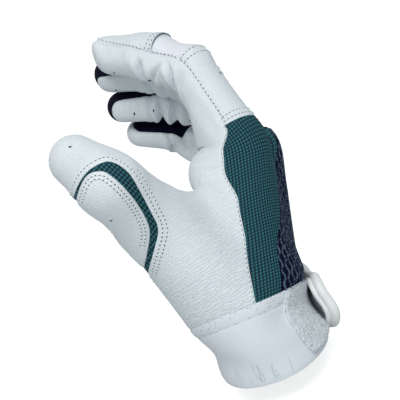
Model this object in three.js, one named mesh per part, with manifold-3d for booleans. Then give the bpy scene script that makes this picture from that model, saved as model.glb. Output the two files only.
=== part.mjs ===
// A right-hand batting glove, half closed as if round a bat handle, as its sewn pieces.
// Millimetres and degrees. The origin is the centre of the wrist opening. The hem lies in z = 0 on the
// thumb side, rises to the palm and drops towards the little finger's side.
// +Z runs into the hand, -X is the palm side, +X the back of the hand, and -Y the thumb side.
//
// The glove is laid out on an open hand with straight fingers. Seams are drawn on that form,
// each piece is cut out along its seams, the fingers are closed, and the piece gets its thickness.
// The layout frame is the hand's: origin at the wrist, z along the hand, x out of its back.
import * as THREE from "three";
import Module from "manifold-3d";

// Thickness of the materials, and half of the gap that is left along a seam.
const LEATHER = 1.2;
const STRETCH_FABRIC = 1.0;
// The stretch walls round the finger ends lie this much below the leather beside them.
const GUSSET_SINK = 0.6;
const KNIT_MESH = 1.5;
const CUFF_FABRIC = 2.0;
const SEAM_HALF_GAP = 0.3;
const FACET = 7.8;
const FACET_ACROSS = 5.2;

// Fingers: knuckle place, bone lengths, radii from knuckle to tip, and bends at the three joints.
// lean and roll aim the closed finger, open is its spread in the layout, and turn is how far its
// seams wind round it by the tip.
const FINGERS = [
  { name: "index", knuckle: [2, -26, 90], bones: [44, 26, 28], radii: [11, 11, 9.6, 8.4],
    bends: [23, 36, 12], lean: -16.7, roll: -20.9, open: -14, turn: 0 },
  { name: "middle", knuckle: [5, -4.5, 92], bones: [48, 30, 29], radii: [10.8, 10.6, 9.8, 8.4],
    bends: [27, 36, 18], lean: -13.5, roll: -17.4, open: 2, turn: 25 },
  { name: "ring", knuckle: [3, 16.5, 86], bones: [45, 28, 29], radii: [10.4, 10.2, 9.4, 8.2],
    bends: [22, 53, 14], lean: 0.9, roll: 3.9, open: 19, turn: 37 },
  { name: "little", knuckle: [-3, 35, 77], bones: [36, 21, 26], radii: [9.2, 8.8, 8.1, 7.1],
    bends: [33, 16, 33], lean: 2.8, roll: 11, open: 36, turn: 37 },
];
const JOINT_REACH = [10, 8, 6];

// Palm: the four hand bones run from the wrist to the knuckles, with a pad across the palm.
const WRIST_RADIUS = 19;
const KNUCKLE_RADIUS = 13.5;
const WRIST_NARROWING = 0.55;
const WRIST_SLANT = 0.5;
const WRIST_BONE_HEIGHT = 8;
const PALM_PAD = { from: [-11.5, -23, 75], to: [-11, 12, 78], radius: 12 };

// Thumb: root place, bone lengths, radii from root to tip, and each bone's direction as its
// tilt from the hand's z and its turn from the palm side towards the thumb side.
const THUMB_ROOT = [-12, -20, 18];
const THUMB_BONES = [45, 34, 31];
const THUMB_RADII = [21.5, 16.4, 14.1, 11.3];
const THUMB_TILTS = [49.7, 72.4, 47.9];
const THUMB_TURNS = [46.6, 66.3, -6.2];

// Web of skin between thumb and index: two tapered bars, each a share of the way to the index bone.
const WEB_SHARES = [0.35, 0.65];
const WEB_INDEX_LOW = [0, -14, 30];
const WEB_INDEX_HIGH = [0, -22, 62];
const WEB_LOW_RADIUS = 15;
const WEB_HIGH_RADIUS = 10;

// Cuff: an oval sleeve from the hem to its top seam, which is tilted towards the thumb side.
const HEM_HALF_DEPTH = 25.2;
const HEM_HALF_WIDTH = 31;
const TOP_HALF_DEPTH = 27;
const TOP_HALF_WIDTH = 32;
const CUFF_TOP = [-1.8, 7.4, 23.1];
const CUFF_TOP_TILT = 19.2;
const CUFF_TOP_SIDE_TILT = -5.6;
const SEAM_BAND_HEIGHT = 5;
const HEM_DROP = 0.55;
const HEM_DROP_ONSET = 12;
const HEM_RISE = 0.3;
const HEM_RISE_ONSET = 4;

// How the hand stands on the cuff: back at the wrist, over to the little finger's side.
const WRIST_BACK = 10;
const WRIST_SIDE = -41.3;
const WRIST_PLACE = [-2.7, 1, 4.4];

// Seams. Angles run round a finger from its back towards the little finger's side.
const BACK_HALF_ANGLE = 55;
const PALM_HALF_ANGLE = 47;
const BACK_LEATHER_START = 6;
const FLEX_START = -2;
const FLEX_LENGTH = 18;
const TIP_EDGE = 5;
const TIP_CORNER = 6;
const FORK_START = 6;
// Index-side seam: [distance along the index line from its knuckle, height towards the back].
const INDEX_SEAM = [[-80, 1.5], [-50, -0.3], [-31, -1.8], [-15, -7], [-6, -6.4],
  [5, 1.4], [14, 2.6], [40, 3.1], [65, 1.8], [90, 4.5]];
const LITTLE_SEAM_HEIGHT = -1;
// Seam between woven side panel and mesh back: [height up the hand, place across the back].
const MESH_SEAM = [[0, -31], [35, -29], [58, -22.5], [78, -14], [100, -5]];
// Seam of the thumb's leather: a plane through the web line, leaning to the heel of the hand.
const THUMB_SEAM_POINT = [-12, -35, 72.5];
const THUMB_SEAM_NORMAL = [0.263, 0.854, 0.449];
// Thumb patch and the crescent round it: [along the thumb from its end joint, across it].
const THUMB_BACK = [0.204, -0.93, -0.307];
const CRESCENT = [[5, 24], [8.8, 6], [6.5, -4], [2, -8], [-5, -8.4], [-13, -5.6], [-22, -1.8],
  [-28.5, 1.7], [-32.5, 9.5], [-38, 24]];
const PATCH = [[3, 24], [8, 5.8], [4.6, -1.2], [-1, -2.6], [-10, -2], [-18, 0], [-25.5, 3.8],
  [-30, 10.5], [-36, 24]];
const PATCH_WRAP = 4;
const THUMB_CREASE = 9;

// Closure. Angles run round the cuff from the back of the hand towards the little finger's side,
// and heights run up from the cuff's top seam. Layers lie on the cuff with a gap between them.
const SLIT_ANGLE = 44;
const SLIT_WIDTH = 4;
// The loop field's front edge is bowed: its furthest angle, at what height, and the bow of it.
const LOOP_EDGE_ANGLE = -50.6;
const LOOP_EDGE_HEIGHT = -18;
const LOOP_EDGE_BOW = 0.05;
const LOOP_END = 34;
const LOOP_THICKNESS = 1.2;
const LOOP_HEM_MARGIN = 3;
const STRAP_TOP = -1;
const STRAP_WIDTH = 22;
const STRAP_END = 0;
const STRAP_ROOT = 74;
const ANCHOR_END = 98;
const STRAP_THICKNESS = 1.6;
const STRAP_LIFT = 2.2;
const STRAP_HINGE_GAP = 0.8;
const HOOK_THICKNESS = 1.2;
const HOOK_MARGIN = 3;
const HOOK_LENGTH = 15;
const RIM_RADIUS = 2.3;
const RIM_CORNER = 8;
const LAYER_GAP = 0.3;

const DEGREE = Math.PI / 180;

// Vectors as plain arrays.
const add = (a, b, k = 1) => [a[0] + b[0] * k, a[1] + b[1] * k, a[2] + b[2] * k];
const subtract = (a, b) => add(a, b, -1);
const dot = (a, b) => a[0] * b[0] + a[1] * b[1] + a[2] * b[2];
const cross = (a, b) => [
  a[1] * b[2] - a[2] * b[1], a[2] * b[0] - a[0] * b[2], a[0] * b[1] - a[1] * b[0]];
const length = (a) => Math.hypot(a[0], a[1], a[2]);
const unit = (a) => add([0, 0, 0], a, 1 / (length(a) || 1));
const mix = (a, b, t) => add(a, subtract(b, a), t);
const clamp = (x, low, high) => Math.min(Math.max(x, low), high);
const smooth = (x) => clamp(x, 0, 1) ** 2 * (3 - 2 * clamp(x, 0, 1));
const turned = (quaternion, a) => new THREE.Vector3(...a).applyQuaternion(quaternion).toArray();
const about = (axis, degrees) =>
  new THREE.Quaternion().setFromAxisAngle(new THREE.Vector3(...axis), degrees * DEGREE);
const X_AXIS = [1, 0, 0];
const Y_AXIS = [0, 1, 0];
const Z_AXIS = [0, 0, 1];

// Value at x of a line through a list of [x, value] points, held level past both ends.
function along(points, x) {
  const last = points.length - 1;
  if (x <= points[0][0]) return points[0][1];
  if (x >= points[last][0]) return points[last][1];
  const i = points.findIndex((p) => p[0] > x);
  const t = (x - points[i - 1][0]) / (points[i][0] - points[i - 1][0]);
  return points[i - 1][1] + (points[i][1] - points[i - 1][1]) * smooth(t);
}

// Distance to a bar with round ends of two radii.
function taperedBar(from, to, startRadius, endRadius) {
  const axis = subtract(to, from);
  const l2 = dot(axis, axis);
  const taper = startRadius - endRadius;
  const a2 = l2 - taper * taper;
  return (p) => {
    const v = subtract(p, from);
    const y = dot(v, axis);
    const z = y - l2;
    const w = add(add([0, 0, 0], v, l2), axis, -y);
    const x2 = dot(w, w);
    const k = Math.sign(taper) * taper * taper * x2;
    if (Math.sign(z) * a2 * z * z * l2 > k) return Math.sqrt(x2 + z * z * l2) / l2 - endRadius;
    if (Math.sign(y) * a2 * y * y * l2 < k) return Math.sqrt(x2 + y * y * l2) / l2 - startRadius;
    return (Math.sqrt(x2 * a2 / l2) + y * taper) / l2 - startRadius;
  };
}

// Joins two distances with a fillet of about k.
function fillet(a, b, k) {
  const h = Math.max(k - Math.abs(a - b), 0) / k;
  return Math.min(a, b) - h * h * k / 4;
}
const KNUCKLE_FILLET = 5;
const FINGER_WEB_FILLET = 8;
const FINGER_FILLET = 3;
const PALM_FILLET = 8;
const THUMB_FILLET = 6;
const CUFF_FILLET = 7;

// Chain of bars through points, with a radius at each.
function chain(points, radii, k) {
  const bars = points.slice(1).map((p, i) => taperedBar(points[i], p, radii[i], radii[i + 1]));
  return (p) => bars.map((bar) => bar(p)).reduce((a, b) => fillet(a, b, k));
}

// Each finger gets its layout frame, its distance, and the track of its closed centre line.
const TRACK_STEP = 0.5;
const TRACK_BEFORE = 30;
const TRACK_AFTER = 12;
for (const finger of FINGERS) {
  const layout = about(X_AXIS, -finger.open);
  const frame = { back: X_AXIS, side: turned(layout, Y_AXIS), axis: turned(layout, Z_AXIS) };
  finger.frame = frame;
  const [first, second, third] = finger.bones;
  finger.ends = [0, first, first + second];
  finger.total = first + second + third;
  const stops = [...finger.ends, finger.total - finger.radii[3]];
  finger.distance = chain(stops.map((s) => add(finger.knuckle, frame.axis, s)), finger.radii,
    FINGER_FILLET);
  finger.flexStart = first + FLEX_START;
  finger.flexEnd = finger.flexStart + FLEX_LENGTH;

  const aim = about(Z_AXIS, finger.roll).multiply(about(X_AXIS, -finger.lean));
  let bent = 0;
  const frames = [layout, ...finger.bends.map((bend) => {
    bent += bend;
    return aim.clone().multiply(about(Y_AXIS, -bent));
  })];
  finger.track = [];
  let place = add(finger.knuckle, frame.axis, -TRACK_BEFORE);
  for (let s = -TRACK_BEFORE; s <= finger.total + TRACK_AFTER; s += TRACK_STEP) {
    const q = layout.clone();
    finger.ends.forEach((end, k) => {
      const step = frames[k].clone().invert().multiply(frames[k + 1]);
      const share = smooth((s - end + JOINT_REACH[k]) / (2 * JOINT_REACH[k]));
      q.multiply(new THREE.Quaternion().slerp(step, share));
    });
    const axis = turned(q, Z_AXIS);
    const before = finger.track.at(-1);
    if (before) place = add(place, add(axis, before.axis), TRACK_STEP / 2);
    finger.track.push({ place, axis, back: turned(q, X_AXIS), side: turned(q, Y_AXIS) });
  }
}

// Thumb joints from root to tip.
const thumbDirections = THUMB_TILTS.map((tilt, i) => [
  -Math.sin(tilt * DEGREE) * Math.cos(THUMB_TURNS[i] * DEGREE),
  -Math.sin(tilt * DEGREE) * Math.sin(THUMB_TURNS[i] * DEGREE),
  Math.cos(tilt * DEGREE)]);
const thumbJoints = [THUMB_ROOT];
thumbDirections.forEach((d, i) => thumbJoints.push(add(thumbJoints[i], d, THUMB_BONES[i])));
const thumbStops = [...thumbJoints.slice(0, 3), add(thumbJoints[3], thumbDirections[2], -THUMB_RADII[3])];
const thumbDistance = chain(thumbStops, THUMB_RADII, THUMB_FILLET);

// From the hand's frame to the glove's.
const wristTurn = about(Y_AXIS, WRIST_BACK).multiply(about(X_AXIS, WRIST_SIDE));
const toGlove = (p) => add(WRIST_PLACE, turned(wristTurn, p));

// Cuff: oval sections that slide along a leaning axis.
const cuffTopNormal = turned(
  about(X_AXIS, -CUFF_TOP_TILT).multiply(about(Y_AXIS, CUFF_TOP_SIDE_TILT)), Z_AXIS);
const aboveCuffTop = (q) => dot(subtract(q, CUFF_TOP), cuffTopNormal);
const cuffSection = (z) => {
  const t = z / CUFF_TOP[2];
  return {
    x: CUFF_TOP[0] * t, y: CUFF_TOP[1] * t,
    depth: HEM_HALF_DEPTH + (TOP_HALF_DEPTH - HEM_HALF_DEPTH) * t,
    width: HEM_HALF_WIDTH + (TOP_HALF_WIDTH - HEM_HALF_WIDTH) * t,
  };
};
const CUFF_TAPER = 24;
const CUFF_TAPER_SHARE = 0.4;
function cuffDistance(p) {
  const q = toGlove(p);
  const s = cuffSection(Math.max(q[2], -CUFF_TOP[2]));
  const above = (q[2] - CUFF_TOP[2]) / CUFF_TAPER;
  const taper = 1 - CUFF_TAPER_SHARE * clamp(above, 0, 1) ** 2;
  s.depth *= taper;
  s.width *= taper;
  const u = q[0] - s.x;
  const v = q[1] - s.y;
  const k0 = Math.hypot(u / s.depth, v / s.width) + 1e-9;
  const k1 = Math.hypot(u / s.depth ** 2, v / s.width ** 2) + 1e-9;
  return Math.max(k0 * (k0 - 1) / k1, q[2] - CUFF_TOP[2] - CUFF_TAPER);
}

// Palm, web and thumb.
const palmBars = FINGERS.map((f) => {
  const across = f.knuckle[1] * WRIST_NARROWING;
  return taperedBar([0, across, WRIST_BONE_HEIGHT + across * WRIST_SLANT], f.knuckle,
    WRIST_RADIUS, KNUCKLE_RADIUS);
});
palmBars.push(taperedBar(PALM_PAD.from, PALM_PAD.to, PALM_PAD.radius, PALM_PAD.radius));
for (const share of WEB_SHARES) {
  palmBars.push(taperedBar(mix(thumbJoints[0], WEB_INDEX_LOW, share),
    mix(thumbJoints[1], WEB_INDEX_HIGH, share), WEB_LOW_RADIUS, WEB_HIGH_RADIUS));
}
function form(p) {
  let body = palmBars.map((bar) => bar(p)).reduce((a, b) => fillet(a, b, PALM_FILLET));
  body = fillet(body, thumbDistance(p), THUMB_FILLET);
  body = fillet(body, cuffDistance(p), CUFF_FILLET);
  const fingers = FINGERS.map((f) => f.distance(p)).reduce((a, b) => fillet(a, b, FINGER_WEB_FILLET));
  return fillet(body, fingers, KNUCKLE_FILLET);
}

// Slope of a distance or seam at a point.
const SLOPE_STEP = 0.05;
function slope(f, p) {
  return [X_AXIS, Y_AXIS, Z_AXIS].map((axis) =>
    (f(add(p, axis, SLOPE_STEP)) - f(add(p, axis, -SLOPE_STEP))) / (2 * SLOPE_STEP));
}
function ontoForm(p, passes) {
  for (let i = 0; i < passes; i += 1) {
    const g = slope(form, p);
    p = add(p, g, -clamp(form(p), -FACET / 2, FACET / 2) / Math.max(dot(g, g), 0.2));
  }
  return p;
}

// Closes the fingers: a point of the layout follows the fingers near it, and the thumb stays.
// Pulls fall with distance, so that the gap between two open fingers shrinks evenly as they close.
const AT_FINGER = 0.03;
const pull = (distance) => 1 / (Math.max(distance, 0) + AT_FINGER);
const fingerPlace = (f, p) => {
  const v = subtract(p, f.knuckle);
  return { s: dot(v, f.frame.axis), back: v[0], side: dot(v, f.frame.side) };
};
function closedHand(p) {
  let weight = pull(thumbDistance(p));
  let sum = add([0, 0, 0], p, weight);
  for (const f of FINGERS) {
    const { s, back, side } = fingerPlace(f, p);
    const at = clamp((s + TRACK_BEFORE) / TRACK_STEP, 0, f.track.length - 1.001);
    const low = f.track[Math.floor(at)];
    const high = f.track[Math.floor(at) + 1];
    const t = at - Math.floor(at);
    let q = mix(low.place, high.place, t);
    q = add(q, mix(low.back, high.back, t), back);
    q = add(q, mix(low.side, high.side, t), side);
    q = add(q, low.axis, s - (at * TRACK_STEP - TRACK_BEFORE));
    const w = pull(f.distance(p));
    sum = add(sum, q, w);
    weight += w;
  }
  return toGlove(add([0, 0, 0], sum, 1 / weight));
}

// What a seam asks of a point: where it lies on each finger, on the hand and on the cuff.
const wrapped = (degrees) => ((degrees % 360) + 540) % 360 - 180;
const TURN_REACH = 50;
const SEAM_REACH = 2;
const PALM_SEAM_END = 14;
const seamPull = (distance) => (Math.max(distance, 0) + SEAM_REACH) ** -4;
let vertexCount = 0;
function vertex(p) {
  const near = FINGERS.map((f) => f.distance(p));
  const fingers = FINGERS.map((f) => {
    const { s, back, side } = fingerPlace(f, p);
    const turn = f.turn * smooth(s / TURN_REACH);
    return { s, back, side, radius: Math.hypot(back, side),
      angle: Math.atan2(side, back) / DEGREE - turn };
  });
  const reach = FINGERS.map((f, i) =>
    Math.min(near[i], palmBars[i](p) + Math.max(fingers[i].s + PALM_SEAM_END, 0)));
  const pulls = reach.map(seamPull);
  const total = pulls.reduce((a, b) => a + b);
  const shares = pulls.map((pulled) => pulled / total);
  const blended = fingers.reduce((sum, f, i) => sum + f.s * shares[i], 0);
  const nearest = near.indexOf(Math.min(...near));
  vertexCount += 1;
  return { id: vertexCount, p, q: toGlove(p), near, nearest, fingers, shares, blended };
}

// Seams as functions of a vertex, in millimetres, positive on the side that the name says.
const arc = (v, i, from) => wrapped(v.fingers[i].angle - from) * DEGREE * v.fingers[i].radius;
const both = (...values) => Math.min(...values);
const rounded = (a, b, radius) =>
  radius - Math.hypot(Math.max(radius - a, 0), Math.max(radius - b, 0));
const PALM_LOW = 180 - PALM_HALF_ANGLE;
const PALM_HIGH = 180 + PALM_HALF_ANGLE;
const LAST = FINGERS.length - 1;

const aboveIndexSeam = (v) => v.fingers[0].back - along(INDEX_SEAM, v.fingers[0].s);
const aboveLittleSeam = (v) => v.fingers[LAST].back - LITTLE_SEAM_HEIGHT;
const blend = (v, seam) => v.shares.reduce((sum, share, i) => sum + share * seam(i), 0);
const overPalm = (v) => blend(v, (i) => both(
  i === 0 ? -aboveIndexSeam(v) : -arc(v, i, PALM_HIGH),
  i === LAST ? -aboveLittleSeam(v) : arc(v, i, PALM_LOW)));
const overBack = (v) => blend(v, (i) => both(
  i === 0 ? aboveIndexSeam(v) : arc(v, i, -BACK_HALF_ANGLE),
  i === LAST ? aboveLittleSeam(v) : -arc(v, i, BACK_HALF_ANGLE)));
const inFork = (v) => both(-overBack(v), -overPalm(v));
const onFinger = (v, i) =>
  Math.min(...v.near.filter((d, k) => k !== i)) / 2 - v.near[i] / 2;
const onPair = (v, i) =>
  Math.min(...v.near.filter((d, k) => k !== i && k !== i + 1)) / 2
  - Math.min(v.near[i], v.near[i + 1]) / 2;
const sideways = (v, i) => v.fingers[i].radius * Math.sin(v.fingers[i].angle * DEGREE);
const betweenPair = (v, i) => v.shares[i] * sideways(v, i) - v.shares[i + 1] * sideways(v, i + 1);
const beforeFlex = (v, i = v.nearest) => FINGERS[i].flexStart - v.fingers[i].s;
const afterFlex = (v, i = v.nearest) => v.fingers[i].s - FINGERS[i].flexEnd;
const beforeTip = (v, i) => FINGERS[i].total - TIP_EDGE - v.fingers[i].s;
const inTipLeather = (v, i) => rounded(overBack(v), beforeTip(v, i), TIP_CORNER);
const hasOneWall = (i) => i === 0 || i === LAST;
function inTipWall(v, i) {
  const palm = rounded(overPalm(v), beforeTip(v, i), TIP_CORNER);
  return hasOneWall(i)
    ? rounded(inFork(v), beforeTip(v, i), TIP_CORNER) : both(-inTipLeather(v, i), -palm);
}
const inTipPad = (v, i) => (hasOneWall(i)
  ? both(-inTipLeather(v, i), -inTipWall(v, i))
  : rounded(overPalm(v), beforeTip(v, i), TIP_CORNER));
const beforeBackLeather = (v) => BACK_LEATHER_START - v.blended;
const onMeshSide = (v) => v.p[1] - along(MESH_SEAM, v.p[2]);
const thumbSeamNormal = unit(THUMB_SEAM_NORMAL);
const onPalmSide = (v) => dot(subtract(v.p, THUMB_SEAM_POINT), thumbSeamNormal);
const overCuff = (v) => aboveCuffTop(v.q);

// Thumb outlines lie in a plane that faces the back of the thumb, from its end joint.
const thumbBack = unit(THUMB_BACK);
const thumbAlong = unit(add(thumbDirections[1], thumbBack, -dot(thumbDirections[1], thumbBack)));
const thumbAcross = cross(thumbBack, thumbAlong);
const thumbJoint = thumbJoints[2];
function outline(points) {
  const curve = new THREE.SplineCurve(points.map((p) => new THREE.Vector2(...p)));
  const line = curve.getPoints(points.length * 6);
  return (u, v) => {
    let nearest = Infinity;
    let inside = false;
    line.forEach((b, i) => {
      const a = line.at(i - 1);
      const dx = b.x - a.x;
      const dy = b.y - a.y;
      const t = clamp(((u - a.x) * dx + (v - a.y) * dy) / (dx * dx + dy * dy), 0, 1);
      nearest = Math.min(nearest, Math.hypot(u - a.x - dx * t, v - a.y - dy * t));
      if ((a.y > v) !== (b.y > v) && u < a.x + dx * (v - a.y) / dy) inside = !inside;
    });
    return inside ? nearest : -nearest;
  };
}
const crescentOutline = outline(CRESCENT);
const patchOutline = outline(PATCH);
function onThumbBack(v, line) {
  const w = subtract(v.p, thumbJoint);
  const u = dot(w, thumbAlong);
  const bone = u < 0 ? thumbDirections[1] : thumbDirections[2];
  const axisDepth = u * dot(bone, thumbBack) / dot(bone, thumbAlong);
  return both(line(u, dot(w, thumbAcross)), dot(w, thumbBack) - axisDepth + PATCH_WRAP);
}
const inCrescent = (v) => onThumbBack(v, crescentOutline);
const inPatch = (v) => onThumbBack(v, patchOutline);
const pastThumbBase = (v) => dot(subtract(v.p, thumbJoint), thumbDirections[1]) + THUMB_CREASE;
const pastThumbCrease = (v) => dot(subtract(v.p, thumbJoint), thumbDirections[2]) - THUMB_CREASE;

// Cuff places: angle round it from the back of the hand, and height over the hem.
const cuffAngle = (q) => {
  const s = cuffSection(q[2]);
  return Math.atan2((q[1] - s.y) / s.width, (q[0] - s.x) / s.depth) / DEGREE;
};
const roundCuff = (v, degrees) => wrapped(cuffAngle(v.q) - degrees) * DEGREE * TOP_HALF_WIDTH;
const eased = (x, onset) => Math.max(x, 0) ** 2 / (Math.max(x, 0) + onset);
const hemHeight = (q) => HEM_RISE * eased(-q[0], HEM_RISE_ONSET) - HEM_DROP * eased(q[1], HEM_DROP_ONSET);
const overHem = (v) => v.q[2] - hemHeight(v.q);
const offSlit = (v) => Math.abs(roundCuff(v, SLIT_ANGLE)) - SLIT_WIDTH / 2;

// The form as a net of facets, one vertex in each cell of a grid that the form crosses.
function netOf(distance, low, high, cell) {
  const count = low.map((l, k) => Math.ceil((high[k] - l) / cell[k]) + 1);
  const at = (i, j, k) => (i * count[1] + j) * count[2] + k;
  const value = new Float64Array(count[0] * count[1] * count[2]);
  const point = (...node) => node.map((n, k) => low[k] + n * cell[k]);
  for (let i = 0; i < count[0]; i += 1) {
    for (let j = 0; j < count[1]; j += 1) {
      for (let k = 0; k < count[2]; k += 1) value[at(i, j, k)] = distance(point(i, j, k));
    }
  }
  const corners = [0, 1, 2, 3, 4, 5, 6, 7].map((n) => [n & 1, (n >> 1) & 1, (n >> 2) & 1]);
  const cells = new Map();
  for (let i = 0; i < count[0] - 1; i += 1) {
    for (let j = 0; j < count[1] - 1; j += 1) {
      for (let k = 0; k < count[2] - 1; k += 1) {
        const v = corners.map((c) => value[at(i + c[0], j + c[1], k + c[2])]);
        if (v.every((x) => x < 0) || v.every((x) => x >= 0)) continue;
        let sum = [0, 0, 0];
        let crossings = 0;
        for (let a = 0; a < 8; a += 1) {
          for (const bit of [1, 2, 4]) {
            const b = a | bit;
            if (b === a || (v[a] < 0) === (v[b] < 0)) continue;
            sum = add(sum, mix(corners[a], corners[b], v[a] / (v[a] - v[b])));
            crossings += 1;
          }
        }
        const inCell = sum.map((x, n) => x * cell[n] / crossings);
        cells.set(at(i, j, k), add(point(i, j, k), inCell));
      }
    }
  }
  const quads = [];
  const steps = [[1, 0, 0], [0, 1, 0], [0, 0, 1]];
  for (let i = 1; i < count[0] - 1; i += 1) {
    for (let j = 1; j < count[1] - 1; j += 1) {
      for (let k = 1; k < count[2] - 1; k += 1) {
        const here = value[at(i, j, k)] < 0;
        steps.forEach((step, n) => {
          if (here === value[at(i + step[0], j + step[1], k + step[2])] < 0) return;
          const u = steps[(n + 1) % 3];
          const w = steps[(n + 2) % 3];
          const corner = (a, b) =>
            at(i - u[0] * a - w[0] * b, j - u[1] * a - w[1] * b, k - u[2] * a - w[2] * b);
          const quad = [corner(1, 1), corner(0, 1), corner(0, 0), corner(1, 0)];
          quads.push(here ? quad : quad.reverse());
        });
      }
    }
  }
  return { cells, quads };
}

// Seam lines that pull nearby vertices onto themselves, so that a cut along them runs clean.
const seamLines = [
  (v) => (v.blended > FORK_START - FACET ? Infinity : overPalm(v)),
  overCuff, (v) => overCuff(v) + SEAM_BAND_HEIGHT, overHem,
  (v) => (overPalm(v) < 0 ? beforeBackLeather(v) : Infinity),
  (v) => (overPalm(v) < 0 && beforeBackLeather(v) > 0 ? onMeshSide(v) : Infinity),
  (v) => (overPalm(v) > 0 && beforeFlex(v) > FACET ? onPalmSide(v) : Infinity),
  (v) => (v.blended > 0 ? beforeFlex(v) : Infinity),
  (v) => (v.blended > 0 ? afterFlex(v) : Infinity),
  (v) => (v.blended > 0 && beforeTip(v, v.nearest) > 0 ? overBack(v) : Infinity),
  (v) => (v.blended > 0 && beforeTip(v, v.nearest) > 0 ? overPalm(v) : Infinity),
  inCrescent, inPatch, pastThumbBase,
  (v) => (pastThumbBase(v) > 0 ? pastThumbCrease(v) : Infinity),
];
const PULL_REACH = 0.4 * FACET_ACROSS;
const CROWDED = 0.3 * FACET_ACROSS;
const MIN_SLOPE = 0.4;
function settled(p) {
  for (const line of seamLines) {
    const here = line(vertex(p));
    if (!(Math.abs(here) < PULL_REACH)) continue;
    const normal = unit(slope(form, p));
    let g = slope((x) => line(vertex(x)), p);
    if (!g.every(Number.isFinite)) continue;
    g = add(g, normal, -dot(g, normal));
    const steep = dot(g, g);
    if (steep < MIN_SLOPE ** 2 || steep > 1 / MIN_SLOPE ** 2) continue;
    p = ontoForm(add(p, g, -here / steep), 1);
  }
  return p;
}
const GRID_LOW = [-95, -100, -40];
const GRID_HIGH = [45, 110, 212];
const net = netOf(form, GRID_LOW, GRID_HIGH, [FACET, FACET_ACROSS, FACET]);
const netVertices = new Map();
const settledPlaces = [];
for (const [cell, rough] of net.cells) {
  const loose = ontoForm(rough, 3);
  const onSeam = settled(loose);
  const crowded = settledPlaces.some((other) => length(subtract(other, onSeam)) < CROWDED);
  settledPlaces.push(crowded ? loose : onSeam);
  netVertices.set(cell, vertex(settledPlaces.at(-1)));
}
const formTriangles = net.quads.flatMap((quad) => {
  const [a, b, c, d] = quad.map((cell) => netVertices.get(cell));
  const short = length(subtract(a.p, c.p)) < length(subtract(b.p, d.p));
  return short ? [[a, b, c], [a, c, d]] : [[a, b, d], [b, c, d]];
});

// Cuts triangles along seams and keeps what lies on the positive side of all of them.
const ON_LINE = 0.15;
function cutOut(seams) {
  let triangles = formTriangles;
  for (const seam of seams) {
    const heights = new Map();
    const height = (v) => {
      if (!heights.has(v.id)) {
        const h = seam(v);
        heights.set(v.id, Math.abs(h) < ON_LINE ? 0 : h);
      }
      return heights.get(v.id);
    };
    const crossings = new Map();
    const crossing = (a, b) => {
      const key = a.id < b.id ? `${a.id} ${b.id}` : `${b.id} ${a.id}`;
      if (!crossings.has(key)) {
        const p = mix(a.p, b.p, height(a) / (height(a) - height(b)));
        crossings.set(key, vertex(ontoForm(p, 1)));
      }
      return crossings.get(key);
    };
    const kept = [];
    for (const triangle of triangles) {
      if (triangle.every((v) => height(v) <= 0)) continue;
      const ring = [];
      triangle.forEach((a, i) => {
        const b = triangle[(i + 1) % 3];
        if (height(a) >= 0) ring.push(a);
        if (height(a) * height(b) < 0) ring.push(crossing(a, b));
      });
      for (let i = 1; i < ring.length - 1; i += 1) kept.push([ring[0], ring[i], ring[i + 1]]);
    }
    triangles = kept;
  }
  return largestPiece(triangles);
}

// Drops the crumbs that crossing seams leave beside a piece: triangles hold together by edges.
function largestPiece(triangles) {
  const owner = triangles.map((t, i) => i);
  const find = (i) => {
    while (owner[i] !== i) i = owner[i];
    return i;
  };
  const edgeOwner = new Map();
  triangles.forEach((triangle, i) => {
    triangle.forEach((a, k) => {
      const b = triangle[(k + 1) % 3];
      const key = a.id < b.id ? `${a.id} ${b.id}` : `${b.id} ${a.id}`;
      if (edgeOwner.has(key)) owner[find(i)] = find(edgeOwner.get(key));
      edgeOwner.set(key, i);
    });
  });
  const sizes = new Map();
  triangles.forEach((t, i) => sizes.set(find(i), (sizes.get(find(i)) ?? 0) + 1));
  const largest = [...sizes].reduce((a, b) => (b[1] > a[1] ? b : a))[0];
  const held = triangles.filter((t, i) => find(i) === largest);
  const hanging = hangingCorners(held);
  return hanging.size ? largestPiece(held.filter((t) => !hanging.has(t))) : held;
}

// Triangles that meet a piece at one vertex only: there, they share no edge with its largest fan.
function hangingCorners(triangles) {
  const fans = new Map();
  for (const triangle of triangles) {
    triangle.forEach((v, i) => {
      const rim = [triangle[(i + 1) % 3].id, triangle[(i + 2) % 3].id];
      const here = fans.get(v.id) ?? [];
      const met = here.filter((fan) => rim.some((id) => fan.rim.includes(id)));
      const joined = { rim: [...rim, ...met.flatMap((fan) => fan.rim)],
        triangles: [triangle, ...met.flatMap((fan) => fan.triangles)] };
      fans.set(v.id, [...here.filter((fan) => !met.includes(fan)), joined]);
    });
  }
  const split = [...fans.values()].filter((here) => here.length > 1);
  return new Set(split.flatMap((here) => {
    const sizes = here.map((fan) => fan.triangles.length);
    return here.filter((fan, i) => i !== sizes.indexOf(Math.max(...sizes))).flatMap((fan) => fan.triangles);
  }));
}

// Closed place and outward normal of a vertex.
const shaped = new Map();
function shape(v) {
  if (!shaped.has(v.id)) {
    const normal = unit(slope(form, v.p));
    const first = unit(cross(normal, Math.abs(normal[0]) < 0.7 ? X_AXIS : Y_AXIS));
    const second = cross(normal, first);
    const across = (t) =>
      subtract(closedHand(add(v.p, t, SLOPE_STEP)), closedHand(add(v.p, t, -SLOPE_STEP)));
    shaped.set(v.id, { place: closedHand(v.p), normal: unit(cross(across(first), across(second))) });
  }
  return shaped.get(v.id);
}

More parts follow.
